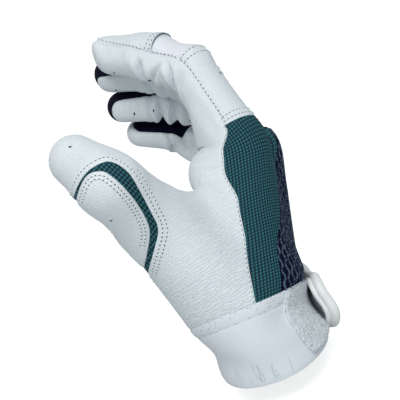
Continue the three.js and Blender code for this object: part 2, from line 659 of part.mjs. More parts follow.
// A piece between two offsets from the form, drawn back from its seams by half a gap.
const MITRE_LIMIT = 2;
function sewnPiece(triangles, outside, inside, evenHem = false) {
  const edges = new Map();
  for (const t of triangles) {
    t.forEach((a, i) => edges.set(`${a.id} ${t[(i + 1) % 3].id}`, [a, t[(i + 1) % 3]]));
  }
  const border = [...edges.values()].filter(([a, b]) => !edges.has(`${b.id} ${a.id}`));
  const inward = new Map();
  for (const [a, b] of border) {
    const direction = unit(subtract(shape(b).place, shape(a).place));
    for (const v of [a, b]) {
      const left = unit(cross(shape(v).normal, direction));
      inward.set(v.id, [...(inward.get(v.id) ?? []), left]);
    }
  }
  const index = new Map();
  const positions = [];
  for (const v of triangles.flat()) {
    if (index.has(v.id)) continue;
    index.set(v.id, positions.length / 3);
    const { place, normal } = shape(v);
    let at = place;
    const lefts = inward.get(v.id);
    if (lefts) {
      const sum = lefts.reduce((a, b) => add(a, b));
      const mitre = Math.min(lefts.length / Math.max(dot(sum, sum), 1e-6), MITRE_LIMIT);
      at = add(place, sum, SEAM_HALF_GAP * mitre);
    }
    const layers = [add(at, normal, outside), add(at, normal, inside)];
    if (evenHem && Math.abs(overHem(v)) < 2 * ON_LINE) {
      for (const layer of layers) layer[2] = hemHeight(place);
    }
    positions.push(...layers[0], ...layers[1]);
  }
  const outer = (v) => index.get(v.id);
  const inner = (v) => index.get(v.id) + 1;
  const faces = [];
  for (const [a, b, c] of triangles) {
    faces.push(outer(a), outer(b), outer(c), inner(c), inner(b), inner(a));
  }
  for (const [a, b] of border) {
    faces.push(outer(b), outer(a), inner(a), outer(b), inner(a), inner(b));
  }
  const geometry = new THREE.BufferGeometry();
  geometry.setAttribute("position", new THREE.Float32BufferAttribute(positions, 3));
  geometry.setIndex(faces);
  return geometry;
}

// Cuts a geometry clear of others and keeps its largest body.
const wasm = await Module();
wasm.setup();
const solidOf = (geometry) => new wasm.Manifold(new wasm.Mesh({ numProp: 3,
  vertProperties: geometry.attributes.position.array, triVerts: Uint32Array.from(geometry.index.array) }));
function clearOf(geometry, cutters) {
  const whole = solidOf(geometry);
  const touching = cutters.filter((cutter) => whole.intersect(cutter).volume() > 0);
  if (!touching.length) return geometry;
  const bodies = touching.reduce((solid, cutter) => solid.subtract(cutter), whole).decompose();
  const largest = bodies.reduce((a, b) => (b.volume() > a.volume() ? b : a));
  const { vertProperties, triVerts } = largest.getMesh();
  const cleared = new THREE.BufferGeometry();
  cleared.setAttribute("position", new THREE.BufferAttribute(vertProperties, 3));
  cleared.setIndex([...triVerts]);
  return cleared;
}

const glove = new THREE.Group();
function piece(name, geometry, material) {
  const mesh = new THREE.Mesh(geometry, material);
  mesh.name = name;
  glove.add(mesh);
}
const finish = (color, roughness) => new THREE.MeshStandardMaterial({ color, roughness, metalness: 0 });
const whiteLeather = finish("#d2dbe0", 0.55);
const flexLeather = finish("#dee0e7", 0.45);
const tealWeave = finish("#2c545c", 0.85);
const navyWall = finish("#0a0f2a", 0.8);
const navyKnit = finish("#1b2a40", 0.9);
const cuffSuede = finish("#d1d6dc", 0.8);
const loopPile = finish("#c7cdd3", 0.95);
const mouldedRim = finish("#e8e9e8", 0.35);
const hookField = finish("#8f9799", 0.9);
const sewn = (name, seams, thickness, material, sink = 0) =>
  piece(name, clearOf(sewnPiece(cutOut(seams), -sink, -sink - thickness), cutters), material);
const flexZone = (i) => [(v) => onFinger(v, i), (v) => -beforeFlex(v, i), (v) => -afterFlex(v, i)];

// Forks and joint sleeves lie deep between the fingers. Pieces beside them are cut clear of them.
const SEAM_CLEARANCE = 0.2;
const cutters = [];
function deep(name, seams, thickness, material) {
  const triangles = cutOut(seams);
  const geometry = clearOf(sewnPiece(triangles, 0, -thickness), cutters);
  piece(name, geometry, material);
  cutters.push(solidOf(sewnPiece(triangles, SEAM_CLEARANCE, -thickness - SEAM_CLEARANCE)));
}
for (let i = 0; i < LAST; i += 1) {
  deep(`fork_${FINGERS[i].name}_${FINGERS[i + 1].name}`,
    [(v) => onPair(v, i), (v) => betweenPair(v, i), (v) => v.blended - FORK_START,
      (v) => -overBack(v), (v) => -overPalm(v), beforeFlex], STRETCH_FABRIC, navyWall);
}
FINGERS.forEach((finger, i) => deep(`${finger.name}_crease_sleeve`, [...flexZone(i), (v) => -overBack(v)],
  LEATHER, whiteLeather));

// Palm, thumb and back of the hand.
sewn("palm_leather", [overPalm, onPalmSide, overCuff, beforeFlex], LEATHER, whiteLeather);
sewn("thumb_leather", [overPalm, (v) => -onPalmSide(v), overCuff, (v) => -pastThumbBase(v),
  (v) => -inCrescent(v)], LEATHER, whiteLeather);
sewn("thumb_crease_leather", [pastThumbBase, (v) => -pastThumbCrease(v), (v) => -inCrescent(v)],
  LEATHER, whiteLeather);
sewn("thumb_tip_leather", [pastThumbBase, pastThumbCrease], LEATHER, whiteLeather);
sewn("thumb_inset", [inCrescent, (v) => -inPatch(v), (v) => -pastThumbCrease(v)],
  STRETCH_FABRIC, tealWeave);
sewn("thumb_patch", [inPatch, (v) => -pastThumbCrease(v)], LEATHER, whiteLeather);
sewn("side_panel", [(v) => -overPalm(v), beforeBackLeather, (v) => -onMeshSide(v), overCuff],
  STRETCH_FABRIC, tealWeave);
sewn("back_mesh", [(v) => -overPalm(v), beforeBackLeather, onMeshSide, overCuff], KNIT_MESH, navyKnit);

// Fingers.
FINGERS.forEach((finger, i) => {
  const here = (v) => onFinger(v, i);
  const stall = [here, (v) => afterFlex(v, i)];
  sewn(`${finger.name}_back_leather`,
    [here, (v) => -beforeBackLeather(v), overBack, (v) => beforeFlex(v, i)],
    LEATHER, whiteLeather);
  sewn(`${finger.name}_flex_panel`, [...flexZone(i), overBack], LEATHER, flexLeather);
  sewn(`${finger.name}_tip_leather`, [...stall, (v) => inTipLeather(v, i)], LEATHER, whiteLeather);
  sewn(`${finger.name}_tip_gusset`, [...stall, (v) => inTipWall(v, i)],
    STRETCH_FABRIC, navyWall, GUSSET_SINK);
  sewn(`${finger.name}_pad_leather`, [...stall, (v) => inTipPad(v, i)], LEATHER, whiteLeather);
});

// Cuff and its loop field.
const inSeamBand = (v) => overCuff(v) + SEAM_BAND_HEIGHT;
sewn("cuff_seam_band", [(v) => -overCuff(v), inSeamBand], CUFF_FABRIC, cuffSuede);
piece("cuff_band", sewnPiece(
  cutOut([(v) => -inSeamBand(v), overHem, offSlit]), 0, -CUFF_FABRIC, true), cuffSuede);
const pastLoopEdge = (v) =>
  roundCuff(v, LOOP_EDGE_ANGLE + LOOP_EDGE_BOW * (overCuff(v) - LOOP_EDGE_HEIGHT) ** 2);
const loopOutside = LAYER_GAP + LOOP_THICKNESS;
piece("loop_patch", sewnPiece(cutOut([pastLoopEdge, (v) => -roundCuff(v, LOOP_END),
  (v) => -inSeamBand(v), (v) => overHem(v) - LOOP_HEM_MARGIN]), loopOutside, LAYER_GAP), loopPile);

// A point on the outside of the cuff, at an angle, a height and a distance off it.
const cuffAxis = unit(CUFF_TOP);
const toHand = (q) => turned(wristTurn.clone().invert(), subtract(q, WRIST_PLACE));
const FAR_OFF = 20;
const MARCH_STEPS = 40;
function cuffPoint(angle, height, off) {
  const outward = [Math.cos(angle * DEGREE), Math.sin(angle * DEGREE), 0];
  const start = add(CUFF_TOP, [outward[0] * TOP_HALF_DEPTH, outward[1] * TOP_HALF_WIDTH, 0]);
  const slide = (height - aboveCuffTop(start)) / dot(cuffAxis, cuffTopNormal);
  let q = add(add(start, cuffAxis, slide), outward, FAR_OFF);
  for (let i = 0; i < MARCH_STEPS; i += 1) q = add(q, outward, -form(toHand(q)));
  return add(q, outward, off);
}

// A plate bent round the cuff: its low and high edge at a row of angles, and two distances off it.
const PLATE_ROWS = 4;
function bentPlate(angles, edges, inside, outside) {
  const positions = [];
  const rows = PLATE_ROWS;
  const steps = angles.length - 1;
  const at = (layer, i, j) => (layer * (steps + 1) + i) * (rows + 1) + j;
  for (const off of [inside, outside]) {
    for (const angle of angles) {
      const [low, high] = edges(angle);
      for (let j = 0; j <= rows; j += 1) {
        const height = low + (high - low) * j / rows;
        positions.push(...cuffPoint(angle, height, off(angle, height)));
      }
    }
  }
  const faces = [];
  const quad = (a, b, c, d) => faces.push(a, b, c, a, c, d);
  for (let i = 0; i < steps; i += 1) {
    for (let j = 0; j < rows; j += 1) {
      quad(at(1, i, j), at(1, i + 1, j), at(1, i + 1, j + 1), at(1, i, j + 1));
      quad(at(0, i, j), at(0, i, j + 1), at(0, i + 1, j + 1), at(0, i + 1, j));
    }
    quad(at(0, i, 0), at(0, i + 1, 0), at(1, i + 1, 0), at(1, i, 0));
    quad(at(0, i, rows), at(1, i, rows), at(1, i + 1, rows), at(0, i + 1, rows));
  }
  for (let j = 0; j < rows; j += 1) {
    quad(at(0, 0, j), at(1, 0, j), at(1, 0, j + 1), at(0, 0, j + 1));
    quad(at(0, steps, j), at(0, steps, j + 1), at(1, steps, j + 1), at(1, steps, j));
  }
  const geometry = new THREE.BufferGeometry();
  geometry.setAttribute("position", new THREE.Float32BufferAttribute(positions, 3));
  geometry.setIndex(faces);
  return geometry;
}

// Closure strap: band in a moulded rim, hook field under its free end, and its sewn root.
const degreesFor = (distance) => distance / TOP_HALF_WIDTH / DEGREE;
const strapLow = STRAP_TOP - STRAP_WIDTH;
const lift = (angle, height) => STRAP_LIFT * smooth((STRAP_ROOT - angle) / (STRAP_ROOT - STRAP_END))
  * (0.5 + 0.5 * (STRAP_TOP - height) / STRAP_WIDTH);
const hookInside = loopOutside + LAYER_GAP;
const bandInside = hookInside + HOOK_THICKNESS + LAYER_GAP;
const bandOutside = bandInside + STRAP_THICKNESS;
const raised = (off) => (angle, height) => off + lift(angle, height);
const level = (off) => () => off;
const inset = RIM_RADIUS + LAYER_GAP;
const bandEnd = STRAP_END + degreesFor(inset);
const bandCorner = RIM_CORNER - inset;
const bandEdges = (angle) => {
  const past = clamp((angle - bandEnd) * DEGREE * TOP_HALF_WIDTH, 0, bandCorner);
  const cut = inset + bandCorner - Math.sqrt(bandCorner ** 2 - (bandCorner - past) ** 2);
  return [strapLow + cut, STRAP_TOP - cut];
};
const spread = (from, to, steps) =>
  Array.from({ length: steps + 1 }, (_, i) => from + (to - from) * i / steps);
const CORNER_STEPS = 3;
const PLATE_STEPS = 7;
const cornerAngles = spread(0, 1, CORNER_STEPS).map((t) =>
  bandEnd + degreesFor(bandCorner * (1 - Math.cos(t * Math.PI / 2))));
const bandAngles = cornerAngles.concat(spread(cornerAngles.at(-1), STRAP_ROOT, PLATE_STEPS).slice(1));
piece("strap_band", bentPlate(bandAngles, bandEdges, raised(bandInside), raised(bandOutside)), cuffSuede);
const hookStart = bandEnd + degreesFor(HOOK_MARGIN);
const hookEdges = () => [strapLow + inset + HOOK_MARGIN, STRAP_TOP - inset - HOOK_MARGIN];
piece("hook_patch", bentPlate(spread(hookStart, hookStart + degreesFor(HOOK_LENGTH), PLATE_STEPS),
  hookEdges, raised(hookInside), raised(bandInside - LAYER_GAP)), hookField);
piece("strap_anchor", bentPlate(spread(STRAP_ROOT + degreesFor(STRAP_HINGE_GAP), ANCHOR_END, PLATE_STEPS),
  () => bandEdges(STRAP_ROOT), level(LAYER_GAP), level(bandOutside)), cuffSuede);

const rimPath = new THREE.Path();
const rimStart = (STRAP_ROOT - STRAP_END) * DEGREE * TOP_HALF_WIDTH - STRAP_HINGE_GAP;
rimPath.moveTo(rimStart, STRAP_TOP);
rimPath.lineTo(RIM_CORNER, STRAP_TOP);
rimPath.absarc(RIM_CORNER, STRAP_TOP - RIM_CORNER, RIM_CORNER, Math.PI / 2, Math.PI, false);
rimPath.absarc(RIM_CORNER, strapLow + RIM_CORNER, RIM_CORNER, Math.PI, 1.5 * Math.PI, false);
rimPath.lineTo(rimStart, strapLow);
const RIM_POINTS = 30;
const RIM_STEPS = 44;
const RIM_SIDES = 8;
const rimMiddle = (bandInside + bandOutside) / 2;
const rimLine = new THREE.CatmullRomCurve3(rimPath.getSpacedPoints(RIM_POINTS).map(({ x, y }) => {
  const angle = STRAP_END + degreesFor(x);
  return new THREE.Vector3(...cuffPoint(angle, y, rimMiddle + lift(angle, y)));
}));
const rimSection = new THREE.Shape(Array.from({ length: RIM_SIDES }, (_, i) => {
  const turn = 2 * Math.PI * i / RIM_SIDES;
  return new THREE.Vector2(RIM_RADIUS * Math.cos(turn), RIM_RADIUS * Math.sin(turn));
}));
piece("strap_rim", new THREE.ExtrudeGeometry(rimSection,
  { steps: RIM_STEPS, extrudePath: rimLine, bevelEnabled: false }), mouldedRim);

export default glove;
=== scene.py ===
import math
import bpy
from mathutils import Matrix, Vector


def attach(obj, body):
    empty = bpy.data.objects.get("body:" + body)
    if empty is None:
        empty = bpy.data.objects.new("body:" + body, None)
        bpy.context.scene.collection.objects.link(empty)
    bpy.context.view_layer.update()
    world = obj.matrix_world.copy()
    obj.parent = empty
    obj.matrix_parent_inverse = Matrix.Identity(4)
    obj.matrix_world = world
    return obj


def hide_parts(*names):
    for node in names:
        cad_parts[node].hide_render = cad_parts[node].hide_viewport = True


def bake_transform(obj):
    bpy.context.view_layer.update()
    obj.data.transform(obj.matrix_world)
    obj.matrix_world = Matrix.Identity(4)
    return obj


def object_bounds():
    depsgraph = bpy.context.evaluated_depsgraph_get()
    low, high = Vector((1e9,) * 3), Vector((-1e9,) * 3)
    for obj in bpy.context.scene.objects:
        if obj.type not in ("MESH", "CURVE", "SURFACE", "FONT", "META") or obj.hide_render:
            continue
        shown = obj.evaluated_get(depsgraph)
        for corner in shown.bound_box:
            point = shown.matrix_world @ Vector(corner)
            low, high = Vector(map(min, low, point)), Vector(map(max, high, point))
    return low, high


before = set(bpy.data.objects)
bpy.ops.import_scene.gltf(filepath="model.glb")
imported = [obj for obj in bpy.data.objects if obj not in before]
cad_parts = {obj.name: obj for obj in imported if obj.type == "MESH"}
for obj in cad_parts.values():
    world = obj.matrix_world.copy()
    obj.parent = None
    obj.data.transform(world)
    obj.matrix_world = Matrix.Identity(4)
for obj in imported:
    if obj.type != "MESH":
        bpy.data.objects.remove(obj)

# A right-hand batting glove as a photograph shows it: half closed, from the thumb and index side.
# The form is laid out on an open hand in millimetres, cut along its seams, and closed into the
# glove's frame. Lengths below are millimetres and angles degrees until a mesh is made.
from types import SimpleNamespace

import bpy
import numpy as np
from mathutils import Matrix, Quaternion, Vector

cad_box = [list(corner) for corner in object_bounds()]
MM = 0.001
X_AXIS, Y_AXIS, Z_AXIS = np.eye(3)
rng = np.random.default_rng(7)

# Fingers, as in the part's source: knuckle place, bone lengths, radii from knuckle to tip, and bends
# at the three joints. lean and roll aim the closed finger, open is its spread in the layout, and turn
# is how far its seams wind round it. flex is where its flex panel starts past the first bone and how
# long it is, and raised lifts the closed finger.
FINGERS = [SimpleNamespace(**finger) for finger in (
    dict(name="index", knuckle=(2, -26, 90), bones=(44, 26, 28), radii=(11, 11, 9.6, 8.4),
         bends=(23, 36, 12), lean=-16.7, roll=-20.9, open=-14, turn=0, flex=(1.3, 14.7), raised=0),
    dict(name="middle", knuckle=(5, -4.5, 92), bones=(48, 30, 29), radii=(10.8, 10.6, 9.8, 8.4),
         bends=(27, 36, 18), lean=-13.5, roll=-17.4, open=2, turn=25, flex=(-2, 18), raised=0),
    dict(name="ring", knuckle=(3, 16.5, 86), bones=(45, 28, 29), radii=(10.4, 10.2, 9.4, 8.2),
         bends=(22, 53, 14), lean=0.9, roll=3.9, open=19, turn=37, flex=(-2, 18), raised=0),
    dict(name="little", knuckle=(-3, 35, 77), bones=(36, 21, 26), radii=(9.2, 8.8, 8.1, 7.1),
         bends=(33, 16, 33), lean=2.8, roll=11, open=36, turn=20, flex=(-2, 18), raised=2.4))]
LAST = len(FINGERS) - 1
JOINT_REACH, RAISE_REACH = (10, 8, 6), 10
# Palm: hand bones from the wrist to the knuckles, and a pad across the palm.
WRIST_RADIUS, KNUCKLE_RADIUS = 19, 13.5
WRIST_NARROWING, WRIST_SLANT, WRIST_BONE_HEIGHT = 0.55, 0.5, 8
PALM_PAD = ((-11.5, -23, 75), (-11, 12, 78), 12)
# Thumb: each bone's tilt from the hand's z, and its turn from the palm side to the thumb side.
THUMB_ROOT = (-12, -20, 18)
THUMB_BONES = (45, 34, 31)
THUMB_RADII = (21.5, 16.4, 14.1, 11.3)
THUMB_TILTS = (49.7, 72.4, 47.9)
THUMB_TURNS = (46.6, 66.3, -6.2)
# Web between thumb and index: bars at shares of the way from the thumb to the index bone.
WEB_SHARES = (0.35, 0.65)
WEB_INDEX_LOW, WEB_INDEX_HIGH = (0, -14, 30), (0, -22, 62)
WEB_LOW_RADIUS, WEB_HIGH_RADIUS = 15, 10
# Cuff: an oval sleeve from the hem to its tilted top seam.
HEM_HALF_DEPTH, HEM_HALF_WIDTH = 25.2, 31
TOP_HALF_DEPTH, TOP_HALF_WIDTH = 27, 32
CUFF_TOP = np.array((-1.8, 7.4, 23.1))
CUFF_TOP_TILT, CUFF_TOP_SIDE_TILT = 19.2, -5.6
CUFF_TAPER, CUFF_TAPER_SHARE = 24, 0.4
SEAM_BAND_HEIGHT = 5
HEM_DROP, HEM_DROP_ONSET = 0.55, 12
HEM_RISE, HEM_RISE_ONSET = -0.04, 4
# How the hand stands on the cuff, and how its parts run into each other.
WRIST_BACK, WRIST_SIDE = 10, -41.3
WRIST_PLACE = np.array((-2.7, 1, 4.4))
KNUCKLE_FILLET, FINGER_WEB_FILLET, FINGER_FILLET = 5, 8, 3
PALM_FILLET, THUMB_FILLET, CUFF_FILLET = 8, 6, 7

# Seams. Angles run round a finger from its back towards the little finger's side. The seam on the
# index side is by place along the index finger and height, the mesh's by height and place across.
BACK_HALF_ANGLE, PALM_HALF_ANGLE = 55, 47
BACK_LEATHER_START = 6
TIP_EDGE, TIP_CORNER = 3, 5
FORK_START = 6
INDEX_SEAM = ((-80, 1.5), (-50, -0.3), (-31, -1.8), (-15, -7), (-6, -6.4), (5, 1.4), (14, 2.6),
              (40, 3.1), (65, 1.8), (90, 4.5))
LITTLE_SEAM_HEIGHT = -1
MESH_SEAM = ((0, -31), (35, -29), (58, -22.5), (78, -14), (100, -5))
THUMB_SEAM_POINT = (-12, -35, 72.5)
THUMB_SEAM_NORMAL = (0.263, 0.854, 0.449)
THUMB_BACK = (0.204, -0.93, -0.307)
# Outlines on the thumb: along it from its end joint, and across it.
CRESCENT = ((5, 24), (8.8, 6), (6.5, -4), (2, -8), (-5, -8.4), (-13, -5.6), (-22, -1.8),
            (-28.5, 1.7), (-32.5, 9.5), (-38, 24))
PATCH = ((3, 24), (8, 5.8), (4.6, -1.2), (-1, -2.6), (-10, -2), (-18, 0), (-25.5, 3.8),
         (-30, 10.5), (-36, 24))
PATCH_WRAP, THUMB_CREASE = 4, 9

# Closure. Angles run round the cuff from the back of the hand towards the little finger's side, and
# heights up from the cuff's top seam.
SLIT_ANGLE, SLIT_WIDTH = 44, 4
LOOP_END, LOOP_HEM_MARGIN = 34, 3
STRAP_TOP, STRAP_WIDTH = -1, 22
STRAP_END, STRAP_ROOT, ANCHOR_END = 0, 74, 98
STRAP_THICKNESS, STRAP_HINGE_GAP = 1.6, 0.8
LOOP_THICKNESS, HOOK_THICKNESS, HOOK_MARGIN, HOOK_LENGTH = 1.2, 1.2, 0.8, 17
RIM_RADIUS, RIM_CORNER, LAYER_GAP = 2.3, 8, 0.3


def unit(a):
    a = np.asarray(a, float)
    return a / np.linalg.norm(a, axis=-1, keepdims=True)


def smooth(x):
    x = np.clip(x, 0, 1)
    return x * x * (3 - 2 * x)


def hump(x, middle, half):
    """1 in the middle, falling away on both sides."""
    return np.exp(-((x - middle) / half) ** 2)


def about(axis, degrees):
    return Quaternion(Vector(axis), math.radians(degrees))


def along(points, x):
    """Value at x of an eased line through (x, value) points, level past both ends."""
    xs, ys = np.array(points, float).T
    i = np.clip(np.searchsorted(xs, x, side="right"), 1, len(xs) - 1)
    t = smooth((x - xs[i - 1]) / (xs[i] - xs[i - 1]))
    return ys[i - 1] + (ys[i] - ys[i - 1]) * t


def bar(p, start, end, start_radius, end_radius):
    """Distance to a bar with round ends of two radii."""
    start, axis = np.asarray(start, float), np.subtract(end, start).astype(float)
    l2 = axis @ axis
    taper = start_radius - end_radius
    a2 = l2 - taper * taper
    v = p - start
    y = v @ axis
    z = y - l2
    x2 = ((v * l2 - y[:, None] * axis) ** 2).sum(1)
    k = math.copysign(taper * taper, taper) * x2
    middle = (np.sqrt(x2 * a2 / l2) + y * taper) / l2 - start_radius
    low = np.sqrt(x2 + y * y * l2) / l2 - start_radius
    high = np.sqrt(x2 + z * z * l2) / l2 - end_radius
    past = np.sign(z) * a2 * z * z * l2 > k
    return np.where(past, high, np.where(np.sign(y) * a2 * y * y * l2 < k, low, middle))


def fillet(a, b, k):
    h = np.maximum(k - np.abs(a - b), 0) / k
    return np.minimum(a, b) - h * h * k / 4


def chain(p, stops, radii, k):
    distance = bar(p, stops[0], stops[1], radii[0], radii[1])
    for i in range(1, len(stops) - 1):
        distance = fillet(distance, bar(p, stops[i], stops[i + 1], radii[i], radii[i + 1]), k)
    return distance


TRACK_STEP, TRACK_BEFORE, TRACK_AFTER = 0.5, 30, 12
for finger in FINGERS:
    layout = about(X_AXIS, -finger.open)
    finger.knuckle = np.array(finger.knuckle, float)
    finger.side, finger.axis = (np.array(layout.to_matrix())[:, k] for k in (1, 2))
    first, second, third = finger.bones
    finger.ends = (0, first, first + second)
    finger.total = first + second + third
    finger.stops = [finger.knuckle + finger.axis * s
                    for s in (*finger.ends, finger.total - finger.radii[3])]
    finger.flex_start = first + finger.flex[0]
    finger.flex_end = finger.flex_start + finger.flex[1]
    aim = about(Z_AXIS, finger.roll) @ about(X_AXIS, -finger.lean)
    turns = [layout] + [aim @ about(Y_AXIS, -bent) for bent in np.cumsum(finger.bends)]
    place = finger.knuckle - finger.axis * TRACK_BEFORE
    finger.track = []
    for s in np.arange(-TRACK_BEFORE, finger.total + TRACK_AFTER + TRACK_STEP / 2, TRACK_STEP):
        q = layout.copy()
        for end, reach, before, after in zip(finger.ends, JOINT_REACH, turns, turns[1:]):
            share = float(smooth((s - end + reach) / (2 * reach)))
            q = q @ Quaternion().slerp(before.inverted() @ after, share)
        back, side, axis = np.array(q.to_matrix()).T
        if finger.track:
            place = place + (axis + finger.track[-1][3]) * TRACK_STEP / 2
        finger.track.append((place, back, side, axis))
    finger.track = np.array(finger.track)
    lengths = np.arange(len(finger.track)) * TRACK_STEP - TRACK_BEFORE
    rising = smooth((lengths + RAISE_REACH) / (2 * RAISE_REACH))
    finger.track[:, 0] += Z_AXIS * (finger.raised * rising)[:, None]

tilts, turns = np.radians(THUMB_TILTS), np.radians(THUMB_TURNS)
thumb_directions = np.stack(
    [-np.sin(tilts) * np.cos(turns), -np.sin(tilts) * np.sin(turns), np.cos(tilts)], 1)
thumb_joints = [np.array(THUMB_ROOT, float)]
for direction, bone in zip(thumb_directions, THUMB_BONES):
    thumb_joints.append(thumb_joints[-1] + direction * bone)
thumb_stops = thumb_joints[:3] + [thumb_joints[3] - thumb_directions[2] * THUMB_RADII[3]]
thumb_joint = thumb_joints[2]
WRIST_TURN = np.array((about(Y_AXIS, WRIST_BACK) @ about(X_AXIS, WRIST_SIDE)).to_matrix())
cuff_top_normal = np.array(
    (about(X_AXIS, -CUFF_TOP_TILT) @ about(Y_AXIS, CUFF_TOP_SIDE_TILT)).to_matrix())[:, 2]


def to_glove(p):
    return p @ WRIST_TURN.T + WRIST_PLACE


def to_hand(q):
    return (q - WRIST_PLACE) @ WRIST_TURN


def above_cuff_top(q):
    return (q - CUFF_TOP) @ cuff_top_normal


def cuff_section(z):
    t = z / CUFF_TOP[2]
    depth = HEM_HALF_DEPTH + (TOP_HALF_DEPTH - HEM_HALF_DEPTH) * t
    width = HEM_HALF_WIDTH + (TOP_HALF_WIDTH - HEM_HALF_WIDTH) * t
    return CUFF_TOP[0] * t, CUFF_TOP[1] * t, depth, width


def finger_distance(finger, p):
    return chain(p, finger.stops, finger.radii, FINGER_FILLET)


def thumb_distance(p):
    return chain(p, thumb_stops, THUMB_RADII, THUMB_FILLET)


def cuff_distance(p):
    q = to_glove(p)
    x, y, depth, width = cuff_section(np.maximum(q[:, 2], -CUFF_TOP[2]))
    taper = 1 - CUFF_TAPER_SHARE * np.clip((q[:, 2] - CUFF_TOP[2]) / CUFF_TAPER, 0, 1) ** 2
    u, v, depth, width = q[:, 0] - x, q[:, 1] - y, depth * taper, width * taper
    k0 = np.hypot(u / depth, v / width) + 1e-9
    k1 = np.hypot(u / depth ** 2, v / width ** 2) + 1e-9
    return np.maximum(k0 * (k0 - 1) / k1, q[:, 2] - CUFF_TOP[2] - CUFF_TAPER)


palm_bars = []
for finger in FINGERS:
    across = finger.knuckle[1] * WRIST_NARROWING
    wrist = (0, across, WRIST_BONE_HEIGHT + across * WRIST_SLANT)
    palm_bars.append((wrist, finger.knuckle, WRIST_RADIUS, KNUCKLE_RADIUS))
palm_bars.append((PALM_PAD[0], PALM_PAD[1], PALM_PAD[2], PALM_PAD[2]))
for share in WEB_SHARES:
    low = thumb_joints[0] * (1 - share) + np.array(WEB_INDEX_LOW) * share
    high = thumb_joints[1] * (1 - share) + np.array(WEB_INDEX_HIGH) * share
    palm_bars.append((low, high, WEB_LOW_RADIUS, WEB_HIGH_RADIUS))


def form(p):
    body = bar(p, *palm_bars[0])
    for one in palm_bars[1:]:
        body = fillet(body, bar(p, *one), PALM_FILLET)
    body = fillet(body, thumb_distance(p), THUMB_FILLET)
    body = fillet(body, cuff_distance(p), CUFF_FILLET)
    fingers = finger_distance(FINGERS[0], p)
    for finger in FINGERS[1:]:
        fingers = fillet(fingers, finger_distance(finger, p), FINGER_WEB_FILLET)
    return fillet(body, fingers, KNUCKLE_FILLET)


SLOPE_STEP, LEAST_SLOPE = 0.05, 0.2


def slope(p):
    return np.stack([form(p + axis * SLOPE_STEP) - form(p - axis * SLOPE_STEP)
                     for axis in np.eye(3)], 1) / (2 * SLOPE_STEP)


def onto_form(p, longest=np.inf):
    """Points drawn one step along the slope onto the form."""
    g = slope(p)
    step = np.clip(form(p), -longest, longest) / np.maximum((g * g).sum(1), LEAST_SLOPE)
    return p - g * step[:, None]


AT_FINGER = 0.03


def finger_place(finger, p):
    v = p - finger.knuckle
    return v @ finger.axis, v[:, 0], v @ finger.side


def closed(p):
    """Where a point of the layout lies in the glove's frame once the hand is half closed."""
    weight = 1 / (np.maximum(thumb_distance(p), 0) + AT_FINGER)
    total = p * weight[:, None]
    for finger in FINGERS:
        s, back, side = finger_place(finger, p)
        at = np.clip((s + TRACK_BEFORE) / TRACK_STEP, 0, len(finger.track) - 1.001)
        low = at.astype(int)
        t = (at - low)[:, None]
        place, b, l, _ = np.moveaxis(
            finger.track[low] * (1 - t)[..., None] + finger.track[low + 1] * t[..., None], 1, 0)
        rest = s - (at * TRACK_STEP - TRACK_BEFORE)
        q = place + b * back[:, None] + l * side[:, None] + finger.track[low, 3] * rest[:, None]
        pull = 1 / (np.maximum(finger_distance(finger, p), 0) + AT_FINGER)
        total += q * pull[:, None]
        weight += pull
    return to_glove(total / weight[:, None])


def closed_normal(p):
    normal = unit(slope(p))
    first = unit(np.cross(normal, np.where(np.abs(normal[:, :1]) < 0.7, X_AXIS, Y_AXIS)))
    second = np.cross(normal, first)
    a, b = (closed(p + t * SLOPE_STEP) - closed(p - t * SLOPE_STEP) for t in (first, second))
    return unit(np.cross(a, b))


# What a seam asks of points: where they lie on each finger, on the hand and on the cuff.
TURN_REACH, SEAM_REACH, PALM_SEAM_END = 50, 2, 14


def wrapped(degrees):
    return (degrees + 180) % 360 - 180


def places(p):
    v = SimpleNamespace(p=p, q=to_glove(p))
    v.near = np.stack([finger_distance(f, p) for f in FINGERS], 1)
    v.nearest = v.near.argmin(1)
    v.s, v.back, v.side = (np.stack(a, 1) for a in zip(*[finger_place(f, p) for f in FINGERS]))
    v.radius = np.hypot(v.back, v.side)
    turn = np.array([f.turn for f in FINGERS]) * smooth(v.s / TURN_REACH)
    v.angle = np.degrees(np.arctan2(v.side, v.back)) - turn
    palm = np.stack([bar(p, *one) for one in palm_bars[:len(FINGERS)]], 1)
    reach = np.minimum(v.near, palm + np.maximum(v.s + PALM_SEAM_END, 0))
    pulls = (np.maximum(reach, 0) + SEAM_REACH) ** -4
    v.shares = pulls / pulls.sum(1, keepdims=True)
    v.blended = (v.s * v.shares).sum(1)
    v.flex_start = np.array([f.flex_start for f in FINGERS])[v.nearest]
    v.own_s = v.s[np.arange(len(p)), v.nearest]
    v.own_angle = v.angle[np.arange(len(p)), v.nearest]
    return v


# Seams, in millimetres, positive on the side that the name says.
def arc(v, i, start):
    return np.radians(wrapped(v.angle[:, i] - start)) * v.radius[:, i]


def least(*values):
    return np.minimum.reduce(values)


def rounded(a, b, radius):
    return radius - np.hypot(np.maximum(radius - a, 0), np.maximum(radius - b, 0))


def above_index_seam(v):
    return v.back[:, 0] - along(INDEX_SEAM, v.s[:, 0])


def above_little_seam(v):
    return v.back[:, LAST] - LITTLE_SEAM_HEIGHT


def over_palm(v):
    total = 0
    for i in range(len(FINGERS)):
        low = -above_index_seam(v) if i == 0 else -arc(v, i, 180 + PALM_HALF_ANGLE)
        high = -above_little_seam(v) if i == LAST else arc(v, i, 180 - PALM_HALF_ANGLE)
        total = total + v.shares[:, i] * least(low, high)
    return total


def over_back(v):
    total = 0
    for i in range(len(FINGERS)):
        low = above_index_seam(v) if i == 0 else arc(v, i, -BACK_HALF_ANGLE)
        high = above_little_seam(v) if i == LAST else -arc(v, i, BACK_HALF_ANGLE)
        total = total + v.shares[:, i] * least(low, high)
    return total


def on_finger(v, i):
    return np.delete(v.near, i, 1).min(1) / 2 - v.near[:, i] / 2


